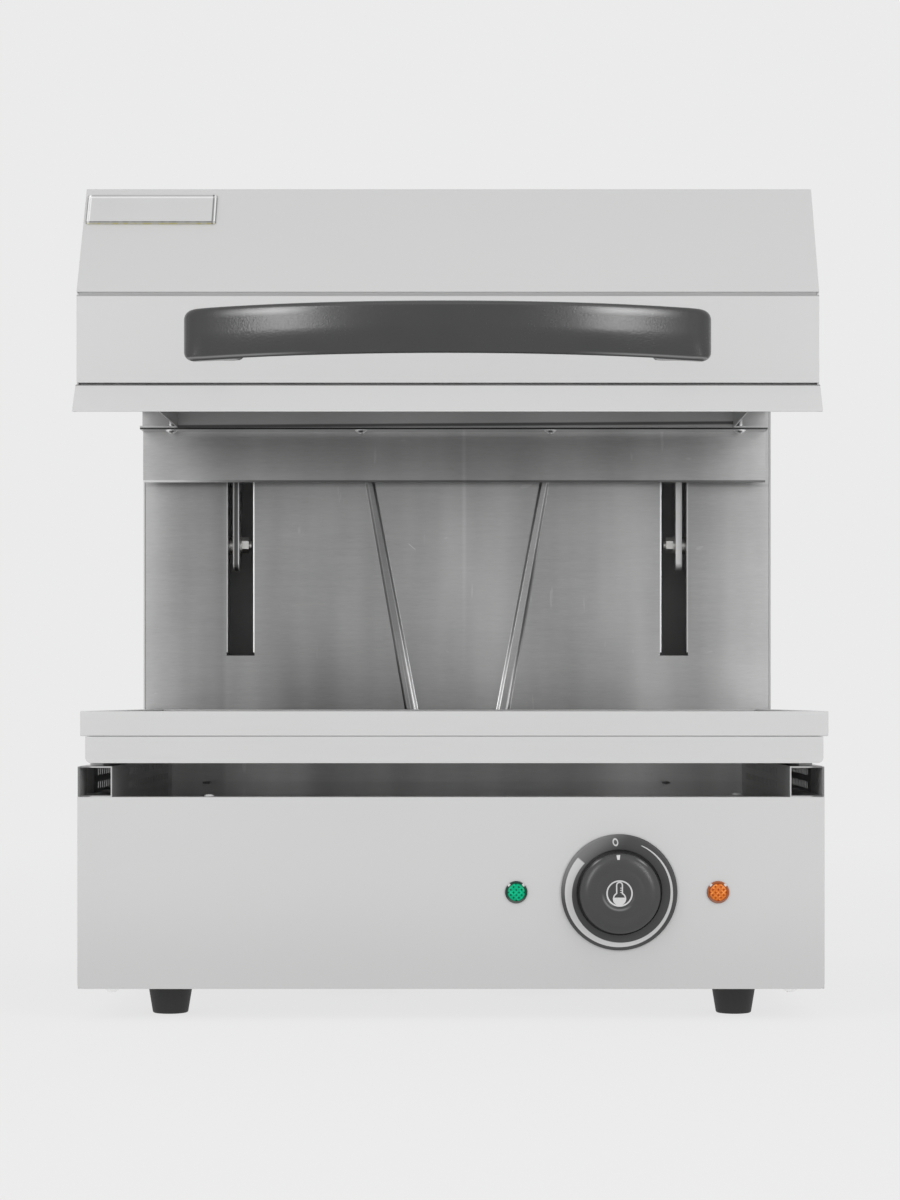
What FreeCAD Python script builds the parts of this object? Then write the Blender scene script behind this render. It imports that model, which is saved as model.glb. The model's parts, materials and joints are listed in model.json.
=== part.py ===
import FreeCAD, Part
import math
import os

from FreeCAD import Vector

# Lift-up cheese melter, in millimetres: +Z is up, the front faces -Y and +X is the viewer's right.
# Depths are measured back from the front of the base, and place() turns them into Y.

# Cabinet
body_width = 450.0
base_depth = 426.0
column_depth = 106.0
foot_height = 19.0
panel_height = 115.5
column_height = 486.0
sheet = 1.2
thin_sheet = 1.0
flange = 12.8
seam = 0.2
overrun = 4.0

# Side rails under the tray
rail_width = 20.7
rail_height = 18.5
rail_sheet = 0.8
louvre_width = 2.4
louvre_height = 4.4
louvre_pitch = 9.0
louvre_rows_gap = 4.0
louvre_start = 80.0
louvre_end_gap = 24.0

# Control panel
panel_corner_radius = 3.0
control_height = 58.3
dial_side_gap = 123.7
green_lamp_gap = 62.0
orange_lamp_gap = 59.5

# Regulator, shaft and knob
regulator_width = 34.0
regulator_height = 38.0
regulator_depth = 30.0
regulator_gap = 6.0
bush_radius = 4.9
bush_nose = 5.0
bush_clearance = 0.3
blade_width = 6.3
blade_thickness = 0.8
blade_length = 9.0
blade_pitch = 8.0
shaft_radius = 3.0
shaft_tail = 14.0
shaft_clearance = 0.05
nut_across = 14.0
nut_thickness = 2.6
knob_radius = 24.0
knob_front = 18.0
knob_gap = 3.6
knob_wall = 2.6
knob_hub_radius = 6.0
knob_face = 3.4
knob_taper = 1.3
knob_dish_radius = 19.5
knob_dish_depth = 1.0
knob_round = 1.6
ring_outer_radius = 35.0
ring_inner_radius = 25.6
ring_thickness = 2.6
ring_chamfer = 0.8

# Indicator lamps
bezel_radius = 6.75
bezel_reach = 1.8
bezel_recess = 1.3
barrel_radius = 5.0
barrel_wall = 0.8
barrel_length = 14.0
barrel_clearance = 0.25
lens_radius = 5.7
lens_dome = 1.2
lens_stem_clearance = 0.1
lens_stem_length = 4.0
lamp_nut_across = 14.0
lamp_nut_thickness = 3.0
neon_radius = 3.0
neon_gap = 0.3

# Feet and base screws
foot_side_gap = 51.0
foot_front_setback = 45.0
foot_rear_setback = 45.0
foot_top_radius = 13.85
foot_bottom_radius = 11.0
foot_recess_radius = 5.5
foot_recess_depth = 9.0
foot_screw_radius = 2.5
foot_screw_head_radius = 4.6
foot_screw_head = 3.2
foot_nut_across = 8.0
foot_nut_thickness = 4.0
hole_clearance = 0.3
corner_screw_side_gap = 20.0
corner_screw_setback = 8.0
corner_screw_radius = 1.9
corner_screw_head_radius = 5.0
corner_screw_head = 2.6
corner_screw_length = 7.0
deck_screw_head_radius = 3.2
deck_screw_head = 1.4
deck_hole_radius = 2.2
left_deck_hole_x = -41.2
left_deck_hole_rear_gap = 80.0
right_deck_hole_side_gap = 85.8
right_deck_hole_rear_gap = 124.0
left_deck_screw_side_gap = 77.0
left_deck_screw_setback = 24.0
right_deck_screw_side_gap = 48.0
right_deck_screw_setback = 57.0
rear_deck_screw_gap = 30.0
bottom_slot_length = 60.0
bottom_slot_width = 5.0
bottom_slot_pitch = 14.0
bottom_slot_count = 8
bottom_slot_setback = 150.0

# Supply parts in the base
gland_side_gap = 75.0
gland_z = 62.0
gland_reach = 16.0
gland_bore_radius = 4.2
gland_thread_radius = 8.0
gland_thread_length = 11.0
gland_hex_across = 22.0
gland_hex_thickness = 5.0
gland_cap_radius = 9.5
gland_cap_tip_radius = 7.0
gland_nut_across = 21.0
gland_nut_thickness = 4.0
terminal_side_gap = 130.0
terminal_pole_pitch = 11.0
terminal_poles = 5
terminal_depth = 22.0
terminal_height = 20.0
terminal_rear_gap = 44.0
terminal_groove = 1.4
terminal_screw_radius = 2.0
terminal_screw_sink = 6.0
terminal_end_wall = 3.0
wire_radius = 1.6
wire_bend = 16.0

# Column front with its slots and pressed ribs
slot_side_gap = 69.5
slot_width = 18.0
slot_bottom_z = 225.0
slot_top_z = 470.0
slot_slit_height = 2.0
slot_slit_width = 20.0
slot_edge = 1.0
slot_edge_depth = 8.0
rib_bottom_z = 168.0
rib_top_z = 470.0
rib_bottom_x = 29.6
rib_top_side_gap = 140.4
rib_bottom_width = 9.6
rib_top_width = 4.6
rib_flank = 1.7
rib_height = 2.2

# Column rear cover and cap
vent_width = 60.0
vent_height = 5.0
vent_pitch_z = 14.0
vent_rows = 6
vent_columns = 4
vent_spacing = 90.0
upper_vent_z = 390.0
lower_vent_z = 70.0
cover_screw_radius = 1.9
cover_screw_head_radius = 3.6
cover_screw_head = 1.8
cover_screw_length = 7.0
cover_screw_edge = 6.5
cover_screw_count = 4
cover_screw_end = 30.0
return_width = 12.0
return_end_gap = 3.0

# Guides, slide blocks and arms
guide_side_gap = 58.0
guide_width = 24.5
guide_sheet = 1.5
guide_channel = 30.0
guide_bottom_z = 150.0
guide_top_z = 480.0
block_height = 32.0
block_clearance = 0.3
arm_side_gap = 65.5
arm_thickness = 4.5
arm_top_rise = 77.0
arm_neck_drop = 17.0
arm_foot_drop = 98.5
arm_flange_rise = 7.0
arm_leg_gap = 8.0
arm_leg_depth = 20.0
arm_neck_gap = 7.0
arm_flange_width = 28.0
arm_corner_radius = 5.0
lower_bolt_rise = 18.5
upper_bolt_drop = 22.0
bolt_radius = 3.0
bolt_head_radius = 5.0
bolt_head = 5.0
bolt_nut_across = 10.0
bolt_nut_thickness = 5.0
bolt_tail = 1.8
washer_radius = 6.2
washer_thickness = 1.5
flange_bolt_side_gap = 47.0
flange_bolt_pitch = 25.0
flange_bolt_count = 3

# Cross bar, balance springs and supply lead of the hood
cross_bar_drop = 12.0
cross_bar_height = 20.0
cross_bar_depth = 16.0
cross_bar_wall = 2.0
cross_bolt_radius = 2.5
cross_bolt_head_radius = 4.5
cross_bolt_head = 3.0
cross_bolt_tip_gap = 2.0
spring_arm_gap = 54.5
spring_radius = 9.0
spring_wall = 2.0
spring_gap = 0.3
anchor_side_gap = 15.0
anchor_z = 488.0
anchor_thickness = 2.0
anchor_depth = 30.0
anchor_height = 14.0
lead_radius = 5.0
lead_clamp_width = 30.0
lead_clamp_height = 20.0

# Hood
hood_shift = -2.0
carriage_shift = -0.75
tray_shift = 2.0
hood_side_play = 0.3
hood_face_setback = 8.0
hood_face_bottom_z = 385.0
hood_face_height = 53.0
hood_seam = 2.0
slope_rise = 70.0
slope_setback = 43.0
hood_rear_gap = 18.0
cheek_rear_rise = 14.0
lap = 14.0
lip_overhang = 0.6
lip_drop = 19.0
lip_reach = 7.0
lip_gap = 1.0
lip_flange_end = 24.0
face_return_end = 22.0
cheek_flange = 22.0
cheek_flange_start = 26.0
cheek_lip_gap = 0.3

# Rear skirt of the hood
skirt_side_inset = 3.2
skirt_drop = 37.0
skirt_offset = 4.0
skirt_flange_depth = 15.5
skirt_screw_inset = 20.5
skirt_screw_count = 4
skirt_screw_radius = 1.9
skirt_screw_head_radius = 4.4
skirt_screw_head = 2.2
skirt_screw_length = 9.0

# Heating chamber, elements and insulation
chamber_side_gap = 28.2
chamber_front = 24.0
chamber_rear_gap = 17.0
chamber_height = 70.0
chamber_flange = 12.0
chamber_flange_inset = 6.5
element_radius = 4.0
element_drop = 23.0
element_spacing = 36.0
element_front_gap = 26.0
element_rear_gap = 27.0
element_count = 3
element_bend_gap = 31.25
element_tail = 16.25
hanger_side_gap = 116.5
hanger_sheet = 1.5
hanger_margin = 10.0
hanger_clearance = 0.15
insulator_radius = 7.0
insulator_length = 10.0
pin_radius = 2.0
pin_length = 5.0
insulation_margin = 6.0
insulation_top_gap = 14.8

# Handle and blank plate
handle_side_gap = 66.2
handle_height = 31.1
handle_end_reach = 18.0
handle_reach = 50.0
handle_bar = 21.0
handle_foot = 35.0
handle_foot_corner = 9.0
handle_edge_radius = 6.5
handle_screw_inset = 16.0
handle_screw_radius = 2.5
handle_screw_depth = 14.0
handle_screw_head_radius = 4.6
handle_screw_head = 3.0
plate_width = 80.0
plate_height = 23.0
plate_thickness = 1.5
plate_bevel = 1.0
plate_side_inset = 1.5
plate_gap = 0.05
plate_top_gap = 5.5

# Drip pan and rack
pan_side_gap = 2.7
pan_rear_gap = 8.0
pan_lift = 2.0
pan_height = 16.0
pan_corner_radius = 3.5
runner_width = 8.0
runner_end_gap = 10.0
runner_clearance = 0.2
rack_overhang = 0.3
rack_rear_gap = 6.0
rack_height = 15.0
rack_gap = 0.3
rack_top_flange = 14.0
rack_bottom_flange = 10.0
wire_grid_radius = 1.75
wire_grid_count = 21
cross_wire_radius = 2.5
cross_wire_count = 3

# Levels and planes that follow from the sizes above
front_y = handle_reach - (handle_reach + base_depth + gland_reach) / 2
half_width = body_width / 2
inner_x = half_width - sheet
deck_z = foot_height + panel_height
rail_top_z = deck_z + rail_height
column_top_z = foot_height + column_height
column_setback = base_depth - column_depth
column_inner = column_setback + sheet
rear_cover_front = base_depth - sheet
fit_x = inner_x - seam
joggle_end = flange + sheet
slot_x = half_width - slot_side_gap
rib_top_x = half_width - rib_top_side_gap

control_z = foot_height + control_height
dial_x = half_width - dial_side_gap
green_lamp_x = dial_x - green_lamp_gap
orange_lamp_x = dial_x + orange_lamp_gap
foot_x = half_width - foot_side_gap
corner_screw_x = half_width - corner_screw_side_gap
left_deck_hole_setback = column_setback - left_deck_hole_rear_gap
right_deck_hole_x = half_width - right_deck_hole_side_gap
right_deck_hole_setback = column_setback - right_deck_hole_rear_gap
left_deck_screw_x = half_width - left_deck_screw_side_gap
right_deck_screw_x = half_width - right_deck_screw_side_gap
rear_deck_screw_setback = column_setback - rear_deck_screw_gap
gland_x = gland_side_gap - half_width
terminal_x = terminal_side_gap - half_width
terminal_setback = base_depth - terminal_rear_gap - terminal_depth

hood_width = body_width - 2 * hood_side_play
hood_half = hood_width / 2
hood_inner = hood_half - sheet
face_inner = hood_face_setback + sheet
hood_face_top_z = hood_face_bottom_z + hood_face_height
slope_bottom_z = hood_face_top_z + hood_seam
hood_top_z = slope_bottom_z + slope_rise
slope_length = math.hypot(slope_setback, slope_rise)
slope_wall = sheet * slope_length / slope_rise
hood_rear = column_setback - hood_rear_gap
rear_panel_front = hood_rear - sheet
hood_cheek_rear_z = hood_face_bottom_z + cheek_rear_rise
lip_width = hood_width + 2 * lip_overhang
lip_bottom_z = hood_face_bottom_z - lip_drop
skirt_width = hood_width - 2 * skirt_side_inset
skirt_bottom_z = hood_face_bottom_z - skirt_drop
skirt_setback = hood_rear + skirt_offset
skirt_flange_front = hood_rear - skirt_flange_depth
skirt_screw_pitch = (skirt_width - 2 * skirt_screw_inset) / (skirt_screw_count - 1)
handle_length = hood_width - 2 * handle_side_gap
handle_z = hood_face_bottom_z + hood_face_height / 2

chamber_width = hood_width - 2 * chamber_side_gap
chamber_rear = hood_rear - chamber_rear_gap
chamber_top_z = hood_face_bottom_z + chamber_height
chamber_flange_width = chamber_width - 2 * chamber_flange_inset
element_z = chamber_top_z - element_drop
element_first = chamber_front + element_front_gap
element_last = chamber_rear - element_rear_gap - element_spacing
element_pitch = (element_last - element_first) / (element_count - 1)
element_bend_x = carriage_shift - chamber_width / 2 + element_bend_gap
element_end_x = carriage_shift + chamber_width / 2 + element_tail
hanger_x = chamber_width / 2 - hanger_side_gap
insulation_bottom_z = chamber_top_z + seam
insulation_top_z = hood_top_z - insulation_top_gap

arm_x = half_width - arm_side_gap
arm_top_z = hood_face_bottom_z + arm_top_rise
arm_neck_z = hood_face_bottom_z - arm_neck_drop
arm_foot_z = hood_face_bottom_z - arm_foot_drop
arm_flange_bottom_z = hood_face_bottom_z + arm_flange_rise
arm_leg_front = column_setback + arm_leg_gap
arm_leg_rear = arm_leg_front + arm_leg_depth
arm_neck_front = hood_rear + arm_neck_gap
arm_bolt_setback = arm_leg_front + arm_leg_depth / 2
lower_bolt_z = arm_foot_z + lower_bolt_rise
upper_bolt_z = arm_top_z - upper_bolt_drop
flange_bolt_x = half_width - flange_bolt_side_gap
guide_mouth_x = half_width - guide_side_gap
guide_web_x = guide_mouth_x + guide_width - guide_sheet
block_front = column_inner + guide_sheet + block_clearance
block_depth = guide_channel - 2 * block_clearance
cross_bar_end_x = arm_x - arm_thickness / 2
cross_bar_bottom_z = arm_neck_z - cross_bar_drop
cross_bar_front = arm_bolt_setback - cross_bar_depth / 2
spring_x = arm_x - spring_arm_gap
anchor_half_width = half_width - anchor_side_gap

pan_width = body_width - 2 * pan_side_gap
pan_depth = column_setback - pan_rear_gap
pan_z = rail_top_z + pan_lift
pan_top_z = pan_z + pan_height
rack_width = body_width + 2 * rack_overhang
rack_depth = column_setback - rack_rear_gap
rack_z = pan_top_z + rack_gap
rack_top_z = rack_z + rack_height


def place(x, depth, z):
    return Vector(x, front_y + depth, z)


def block(x0, x1, depth0, depth1, z0, z1):
    corner = place(min(x0, x1), min(depth0, depth1), min(z0, z1))
    return Part.makeBox(abs(x1 - x0), abs(depth1 - depth0), abs(z1 - z0), corner)


def prism(points, direction):
    return Part.Face(Part.makePolygon(points + points[:1])).extrude(direction)


# A solid whose outline is given as (depth, height) points
def side_prism(outline, x0, x1):
    points = [place(x0, depth, z) for depth, z in outline]
    return prism(points, Vector(x1 - x0, 0, 0))


def rod(radius, start, end):
    base = place(*start)
    along = place(*end) - base
    return Part.makeCylinder(radius, along.Length, base, along)


def cone(radius0, radius1, start, end):
    base = place(*start)
    along = place(*end) - base
    return Part.makeCone(radius0, radius1, along.Length, base, along)


def tube(outer, inner, start, end):
    return rod(outer, start, end).cut(rod(inner, start, end))


def hexagon(across, start, end):
    base = place(*start)
    along = place(*end) - base
    corner = across / math.sqrt(3)
    turns = [math.radians(60 * i) for i in range(6)]
    shape = prism([Vector(corner * math.cos(a), corner * math.sin(a), 0) for a in turns],
                  Vector(0, 0, along.Length))
    shape.Placement = FreeCAD.Placement(base, FreeCAD.Rotation(Vector(0, 0, 1), along))
    return shape


# A domed head on the seat, with its shank reaching to the tip
def dome_screw(head_radius, head_height, shank_radius, seat, tip):
    base = place(*seat)
    along = place(*tip) - base
    along.normalize()
    ball = (head_radius ** 2 + head_height ** 2) / (2 * head_height)
    low = math.degrees(math.asin((ball - head_height) / ball))
    centre = base + along * (ball - head_height)
    head = Part.makeSphere(ball, centre, along * -1, low, 90, 360)
    return head.fuse(rod(shank_radius, seat, tip)).removeSplitter()


# A flat head on the seat, with its shank reaching to the tip
def flat_screw(head_radius, head_height, shank_radius, seat, tip):
    base = place(*seat)
    along = place(*tip) - base
    along.normalize()
    head = Part.makeCylinder(head_radius, head_height, base, along * -1)
    return head.fuse(rod(shank_radius, seat, tip)).removeSplitter()


def together(shapes):
    first = shapes[0]
    return first.fuse(shapes[1:]).removeSplitter() if len(shapes) > 1 else first


def group(shapes):
    return Part.makeCompound([solid for shape in shapes for solid in shape.Solids])


# Outward bulges of a pressed rib, as a loft between its bottom and top sections
def rib(side, wall):
    sections = []
    for z, x, width in ((rib_bottom_z, rib_bottom_x, rib_bottom_width),
                        (rib_top_z, rib_top_x, rib_top_width)):
        outer = width / 2 - wall
        crest = width / 2 - rib_flank
        front = column_setback - rib_height + wall
        outline = ((-outer, column_setback + wall), (-crest, front), (crest, front),
                   (outer, column_setback + wall))
        points = [place(side * x + across, depth, z) for across, depth in outline]
        sections.append(Part.makePolygon(points + points[:1]))
    return Part.makeLoft(sections, True, True)


def louvres(x0, x1, floor_z):
    count = int((column_setback - louvre_start - louvre_end_gap) / louvre_pitch)
    cuts = []
    for row in range(2):
        z = floor_z + louvre_rows_gap / 2 + row * (louvre_height + louvre_rows_gap)
        for i in range(count):
            depth = louvre_start + i * louvre_pitch
            cuts.append(block(x0, x1, depth, depth + louvre_width, z, z + louvre_height))
    return cuts


def rounded_panel(x0, x1, depth0, depth1, z0, z1, radius):
    panel = block(x0, x1, depth0, depth1, z0, z1)
    low = [edge for edge in panel.Edges
           if abs(edge.CenterOfMass.z - z0) < seam and abs(edge.Length - (depth1 - depth0)) < seam]
    return panel.makeFillet(radius, low)


def make_control_panel():
    front = rounded_panel(-half_width, half_width, 0, sheet, foot_height, deck_z,
                          panel_corner_radius)
    inner = fit_x - sheet - seam
    parts = [front,
             block(-fit_x, fit_x, 0, flange, deck_z - sheet, deck_z),
             block(-inner, inner, 0, flange, foot_height, foot_height + sheet)]
    for side in (-1, 1):
        parts.append(block(side * (fit_x - sheet), side * fit_x, 0, flange,
                           foot_height + 2 * sheet, deck_z))
    panel = together(parts)
    cuts = [rod(bush_radius + bush_clearance, (dial_x, -overrun, control_z),
                (dial_x, sheet + overrun, control_z))]
    for x in (green_lamp_x, orange_lamp_x):
        cuts.append(rod(barrel_radius + barrel_clearance, (x, -overrun, control_z),
                        (x, sheet + overrun, control_z)))
    for side in (-1, 1):
        x = side * corner_screw_x
        cuts.append(rod(corner_screw_radius + hole_clearance,
                        (x, corner_screw_setback, foot_height - overrun),
                        (x, corner_screw_setback, foot_height + sheet + overrun / 2)))
    return panel.cut(cuts)


def make_side_panel(side):
    outline = ((sheet + seam, foot_height), (base_depth, foot_height),
               (base_depth, column_top_z), (column_setback, column_top_z),
               (column_setback, rail_top_z), (sheet + seam, rail_top_z))
    panel = side_prism(outline, side * inner_x, side * half_width)
    fold = block(side * (inner_x - return_width), side * inner_x,
                 rear_cover_front - sheet, rear_cover_front,
                 foot_height + return_end_gap, column_top_z - return_width)
    panel = together([panel, fold])
    cuts = louvres(side * (inner_x - overrun / 2), side * (half_width + overrun), deck_z + rail_sheet)
    for z in cover_screw_levels():
        cuts.append(cover_screw_hole(side, z))
    return panel.cut(cuts)


def cover_screw_levels():
    span = column_height - 2 * cover_screw_end
    return [foot_height + cover_screw_end + span * i / (cover_screw_count - 1)
            for i in range(cover_screw_count)]


def cover_screw_hole(side, z):
    x = side * (inner_x - cover_screw_edge)
    return rod(cover_screw_radius + hole_clearance / 3, (x, rear_cover_front - overrun, z),
               (x, base_depth + overrun, z))


def make_deck():
    low = deck_z - sheet
    parts = [block(-fit_x, fit_x, flange + seam, column_setback - seam, low, deck_z),
             block(-fit_x + sheet + seam, fit_x - sheet - seam, sheet * 2, joggle_end + sheet,
                   low - sheet, low),
             block(-fit_x + return_width, fit_x - return_width,
                   column_setback - seam - sheet, column_setback - seam,
                   low - return_width, low)]
    for side in (-1, 1):
        parts.append(block(side * (fit_x - sheet), side * fit_x, joggle_end + sheet,
                           column_setback - return_width, low - return_width, low))
    deck = together(parts)
    cuts = [rod(deck_hole_radius, (x, setback, deck_z - overrun), (x, setback, deck_z + overrun))
            for x, setback in ((left_deck_hole_x, left_deck_hole_setback),
                               (right_deck_hole_x, right_deck_hole_setback))]
    for x, setback in deck_screw_places():
        cuts.append(rod(corner_screw_radius + hole_clearance / 3,
                        (x, setback, deck_z - overrun), (x, setback, deck_z + overrun)))
    return deck.cut(cuts)


def deck_screw_places():
    return ((-left_deck_screw_x, left_deck_screw_setback),
            (right_deck_screw_x, right_deck_screw_setback),
            (-right_deck_screw_x, rear_deck_screw_setback),
            (left_deck_screw_x, rear_deck_screw_setback))


def make_deck_screws():
    return group([dome_screw(deck_screw_head_radius, deck_screw_head, corner_screw_radius,
                             (x, setback, deck_z),
                             (x, setback, deck_z - corner_screw_length))
                  for x, setback in deck_screw_places()])


def make_rail(side):
    inner = side * (half_width - rail_width)
    front = sheet + seam
    rear = column_setback - seam
    outer = side * fit_x
    parts = [block(inner, inner + side * rail_sheet, front, rear, deck_z, rail_top_z),
             block(inner, outer, front, rear, rail_top_z - rail_sheet, rail_top_z),
             block(inner, outer, front, rear, deck_z, deck_z + rail_sheet)]
    return together(parts).cut(louvres(inner - side * overrun, inner + side * overrun,
                                       deck_z + rail_sheet))


def foot_places():
    return [(side * foot_x, setback) for side in (-1, 1)
            for setback in (foot_front_setback, base_depth - foot_rear_setback)]


def make_bottom_plate():
    top = foot_height + sheet
    parts = [block(-fit_x, fit_x, flange + seam, rear_cover_front - seam, foot_height, top),
             block(-fit_x + sheet + seam, fit_x - sheet - seam, sheet * 2, joggle_end + sheet,
                   top, top + sheet),
             block(-fit_x + return_width + seam, fit_x - return_width - seam,
                   rear_cover_front - seam - sheet, rear_cover_front - seam,
                   foot_height, top + return_width)]
    plate = together(parts)
    cuts = []
    for x, setback in foot_places():
        cuts.append(rod(foot_screw_radius + hole_clearance, (x, setback, 0),
                        (x, setback, top + overrun)))
    for side in (-1, 1):
        cuts.append(rod(corner_screw_radius + hole_clearance / 3,
                        (side * corner_screw_x, corner_screw_setback, foot_height),
                        (side * corner_screw_x, corner_screw_setback, top + overrun)))
        for i in range(bottom_slot_count):
            depth = bottom_slot_setback + i * bottom_slot_pitch
            x0 = side * bottom_slot_length / 2
            cuts.append(block(x0, x0 + side * bottom_slot_length, depth,
                              depth + bottom_slot_width, foot_height - overrun, top + overrun))
    return plate.cut(cuts)


def make_feet():
    feet = []
    for x, setback in foot_places():
        foot = cone(foot_bottom_radius, foot_top_radius, (x, setback, 0),
                    (x, setback, foot_height))
        recess = rod(foot_recess_radius, (x, setback, 0), (x, setback, foot_recess_depth))
        hole = rod(foot_screw_radius + hole_clearance, (x, setback, 0),
                   (x, setback, foot_height))
        feet.append(foot.cut([recess, hole]))
    return group(feet)


def make_foot_screws():
    tip = foot_height + sheet + foot_nut_thickness + overrun / 2
    return group([flat_screw(foot_screw_head_radius, foot_screw_head, foot_screw_radius,
                             (x, setback, foot_recess_depth), (x, setback, tip))
                  for x, setback in foot_places()])


def make_foot_nuts():
    low = foot_height + sheet
    nuts = []
    for x, setback in foot_places():
        nut = hexagon(foot_nut_across, (x, setback, low), (x, setback, low + foot_nut_thickness))
        nuts.append(nut.cut(rod(foot_screw_radius, (x, setback, 0),
                                (x, setback, low + foot_nut_thickness + overrun))))
    return group(nuts)


def make_corner_screws():
    return group([dome_screw(corner_screw_head_radius, corner_screw_head, corner_screw_radius,
                             (side * corner_screw_x, corner_screw_setback, foot_height),
                             (side * corner_screw_x, corner_screw_setback,
                              foot_height + corner_screw_length))
                  for side in (-1, 1)])


def make_regulator():
    half = regulator_width / 2
    rear = regulator_gap + regulator_depth
    body = block(dial_x - half, dial_x + half, regulator_gap, rear,
                 control_z - regulator_height / 2, control_z + regulator_height / 2)
    shoulder = rod(2 * bush_radius, (dial_x, sheet, control_z), (dial_x, regulator_gap, control_z))
    bush = rod(bush_radius, (dial_x, -bush_nose, control_z), (dial_x, regulator_gap, control_z))
    parts = [body, shoulder, bush]
    for row in (-1, 1):
        for step in (-1, 1):
            x = dial_x + row * blade_pitch
            z = control_z + step * blade_pitch
            parts.append(block(x - blade_thickness / 2, x + blade_thickness / 2, rear,
                               rear + blade_length, z - blade_width / 2, z + blade_width / 2))
    bore = rod(shaft_radius + shaft_clearance, (dial_x, -bush_nose, control_z),
               (dial_x, shaft_tail + shaft_clearance, control_z))
    return together(parts).cut(bore)


def make_regulator_nut():
    nut = hexagon(nut_across, (dial_x, 0, control_z), (dial_x, -nut_thickness, control_z))
    return nut.cut(rod(bush_radius, (dial_x, overrun, control_z),
                       (dial_x, -nut_thickness - overrun, control_z)))


def make_shaft():
    return rod(shaft_radius, (dial_x, knob_face - knob_front, control_z),
               (dial_x, shaft_tail, control_z))


def make_knob():
    back = -knob_gap
    face = -knob_front
    body = cone(knob_radius, knob_radius - knob_taper, (dial_x, back, control_z),
                (dial_x, face, control_z))
    rim = [edge for edge in body.Edges if abs(edge.CenterOfMass.y - front_y - face) < seam
           and edge.Closed]
    body = body.makeFillet(knob_round, rim)
    ball = (knob_dish_radius ** 2 + knob_dish_depth ** 2) / (2 * knob_dish_depth)
    dish = Part.makeSphere(ball, place(dial_x, face + knob_dish_depth - ball, control_z))
    hollow = rod(knob_radius - knob_taper - knob_wall, (dial_x, back, control_z),
                 (dial_x, face + knob_face, control_z))
    hub = rod(knob_hub_radius, (dial_x, face + knob_face - overrun / 4, control_z),
              (dial_x, -bush_nose - nut_thickness / 2, control_z))
    bore = rod(shaft_radius, (dial_x, face + knob_face, control_z), (dial_x, overrun, control_z))
    return body.cut([dish, hollow]).fuse(hub).cut(bore).removeSplitter()


def make_dial_ring():
    ring = tube(ring_outer_radius, ring_inner_radius, (dial_x, 0, control_z),
                (dial_x, -ring_thickness, control_z))
    edges = [edge for edge in ring.Edges
             if abs(edge.CenterOfMass.y - front_y + ring_thickness) < seam and edge.Closed]
    return ring.makeChamfer(ring_chamfer, edges)


def make_bezels():
    bezels = []
    for x in (green_lamp_x, orange_lamp_x):
        collar = rod(bezel_radius, (x, 0, control_z), (x, -bezel_reach, control_z))
        barrel = rod(barrel_radius, (x, -bezel_reach / 2, control_z),
                     (x, barrel_length, control_z))
        recess = rod(lens_radius + lens_stem_clearance,
                     (x, -bezel_reach, control_z), (x, bezel_recess - bezel_reach, control_z))
        bore = rod(barrel_radius - barrel_wall, (x, -bezel_reach, control_z),
                   (x, barrel_length, control_z))
        bezels.append(collar.fuse(barrel).cut([recess, bore]).removeSplitter())
    return group(bezels)


def make_lens(x):
    seat = bezel_recess - bezel_reach
    rim = rod(lens_radius, (x, seat, control_z), (x, -bezel_reach, control_z))
    ball = (lens_radius ** 2 + lens_dome ** 2) / (2 * lens_dome)
    low = math.degrees(math.asin((ball - lens_dome) / ball))
    dome = Part.makeSphere(ball, place(x, ball - lens_dome - bezel_reach, control_z),
                           Vector(0, -1, 0), low, 90, 360)
    stem = rod(barrel_radius - barrel_wall - lens_stem_clearance, (x, seat, control_z),
               (x, seat + lens_stem_length, control_z))
    return together([rim, dome, stem])


def make_lamp_nuts():
    nuts = []
    for x in (green_lamp_x, orange_lamp_x):
        nut = hexagon(lamp_nut_across, (x, sheet, control_z),
                      (x, sheet + lamp_nut_thickness, control_z))
        nuts.append(nut.cut(rod(barrel_radius, (x, 0, control_z),
                                (x, barrel_length, control_z))))
    return group(nuts)


def make_neon_lamps():
    start = bezel_recess - bezel_reach + lens_stem_length + neon_gap
    return group([rod(neon_radius, (x, start, control_z),
                      (x, barrel_length + overrun, control_z)).fuse(
                          rod(barrel_radius - barrel_wall, (x, barrel_length, control_z),
                              (x, barrel_length + overrun, control_z))).removeSplitter()
                  for x in (green_lamp_x, orange_lamp_x)])


def gland_at(depth):
    return (gland_x, depth, gland_z)


def make_gland():
    outside = base_depth
    cap = outside + gland_hex_thickness
    parts = [rod(gland_thread_radius, gland_at(rear_cover_front - gland_thread_length),
                 gland_at(outside)),
             hexagon(gland_hex_across, gland_at(outside), gland_at(cap)),
             cone(gland_cap_radius, gland_cap_tip_radius, gland_at(cap),
                  gland_at(outside + gland_reach))]
    bore = rod(gland_bore_radius, gland_at(rear_cover_front - gland_thread_length),
               gland_at(outside + gland_reach))
    return together(parts).cut(bore)


def make_gland_nut():
    nut = hexagon(gland_nut_across, gland_at(rear_cover_front),
                  gland_at(rear_cover_front - gland_nut_thickness))
    return nut.cut(rod(gland_thread_radius, gland_at(base_depth),
                       gland_at(rear_cover_front - gland_nut_thickness - overrun)))


def terminal_poles_x():
    span = terminal_pole_pitch * (terminal_poles - 1)
    return [terminal_x - span / 2 + i * terminal_pole_pitch for i in range(terminal_poles)]


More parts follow.
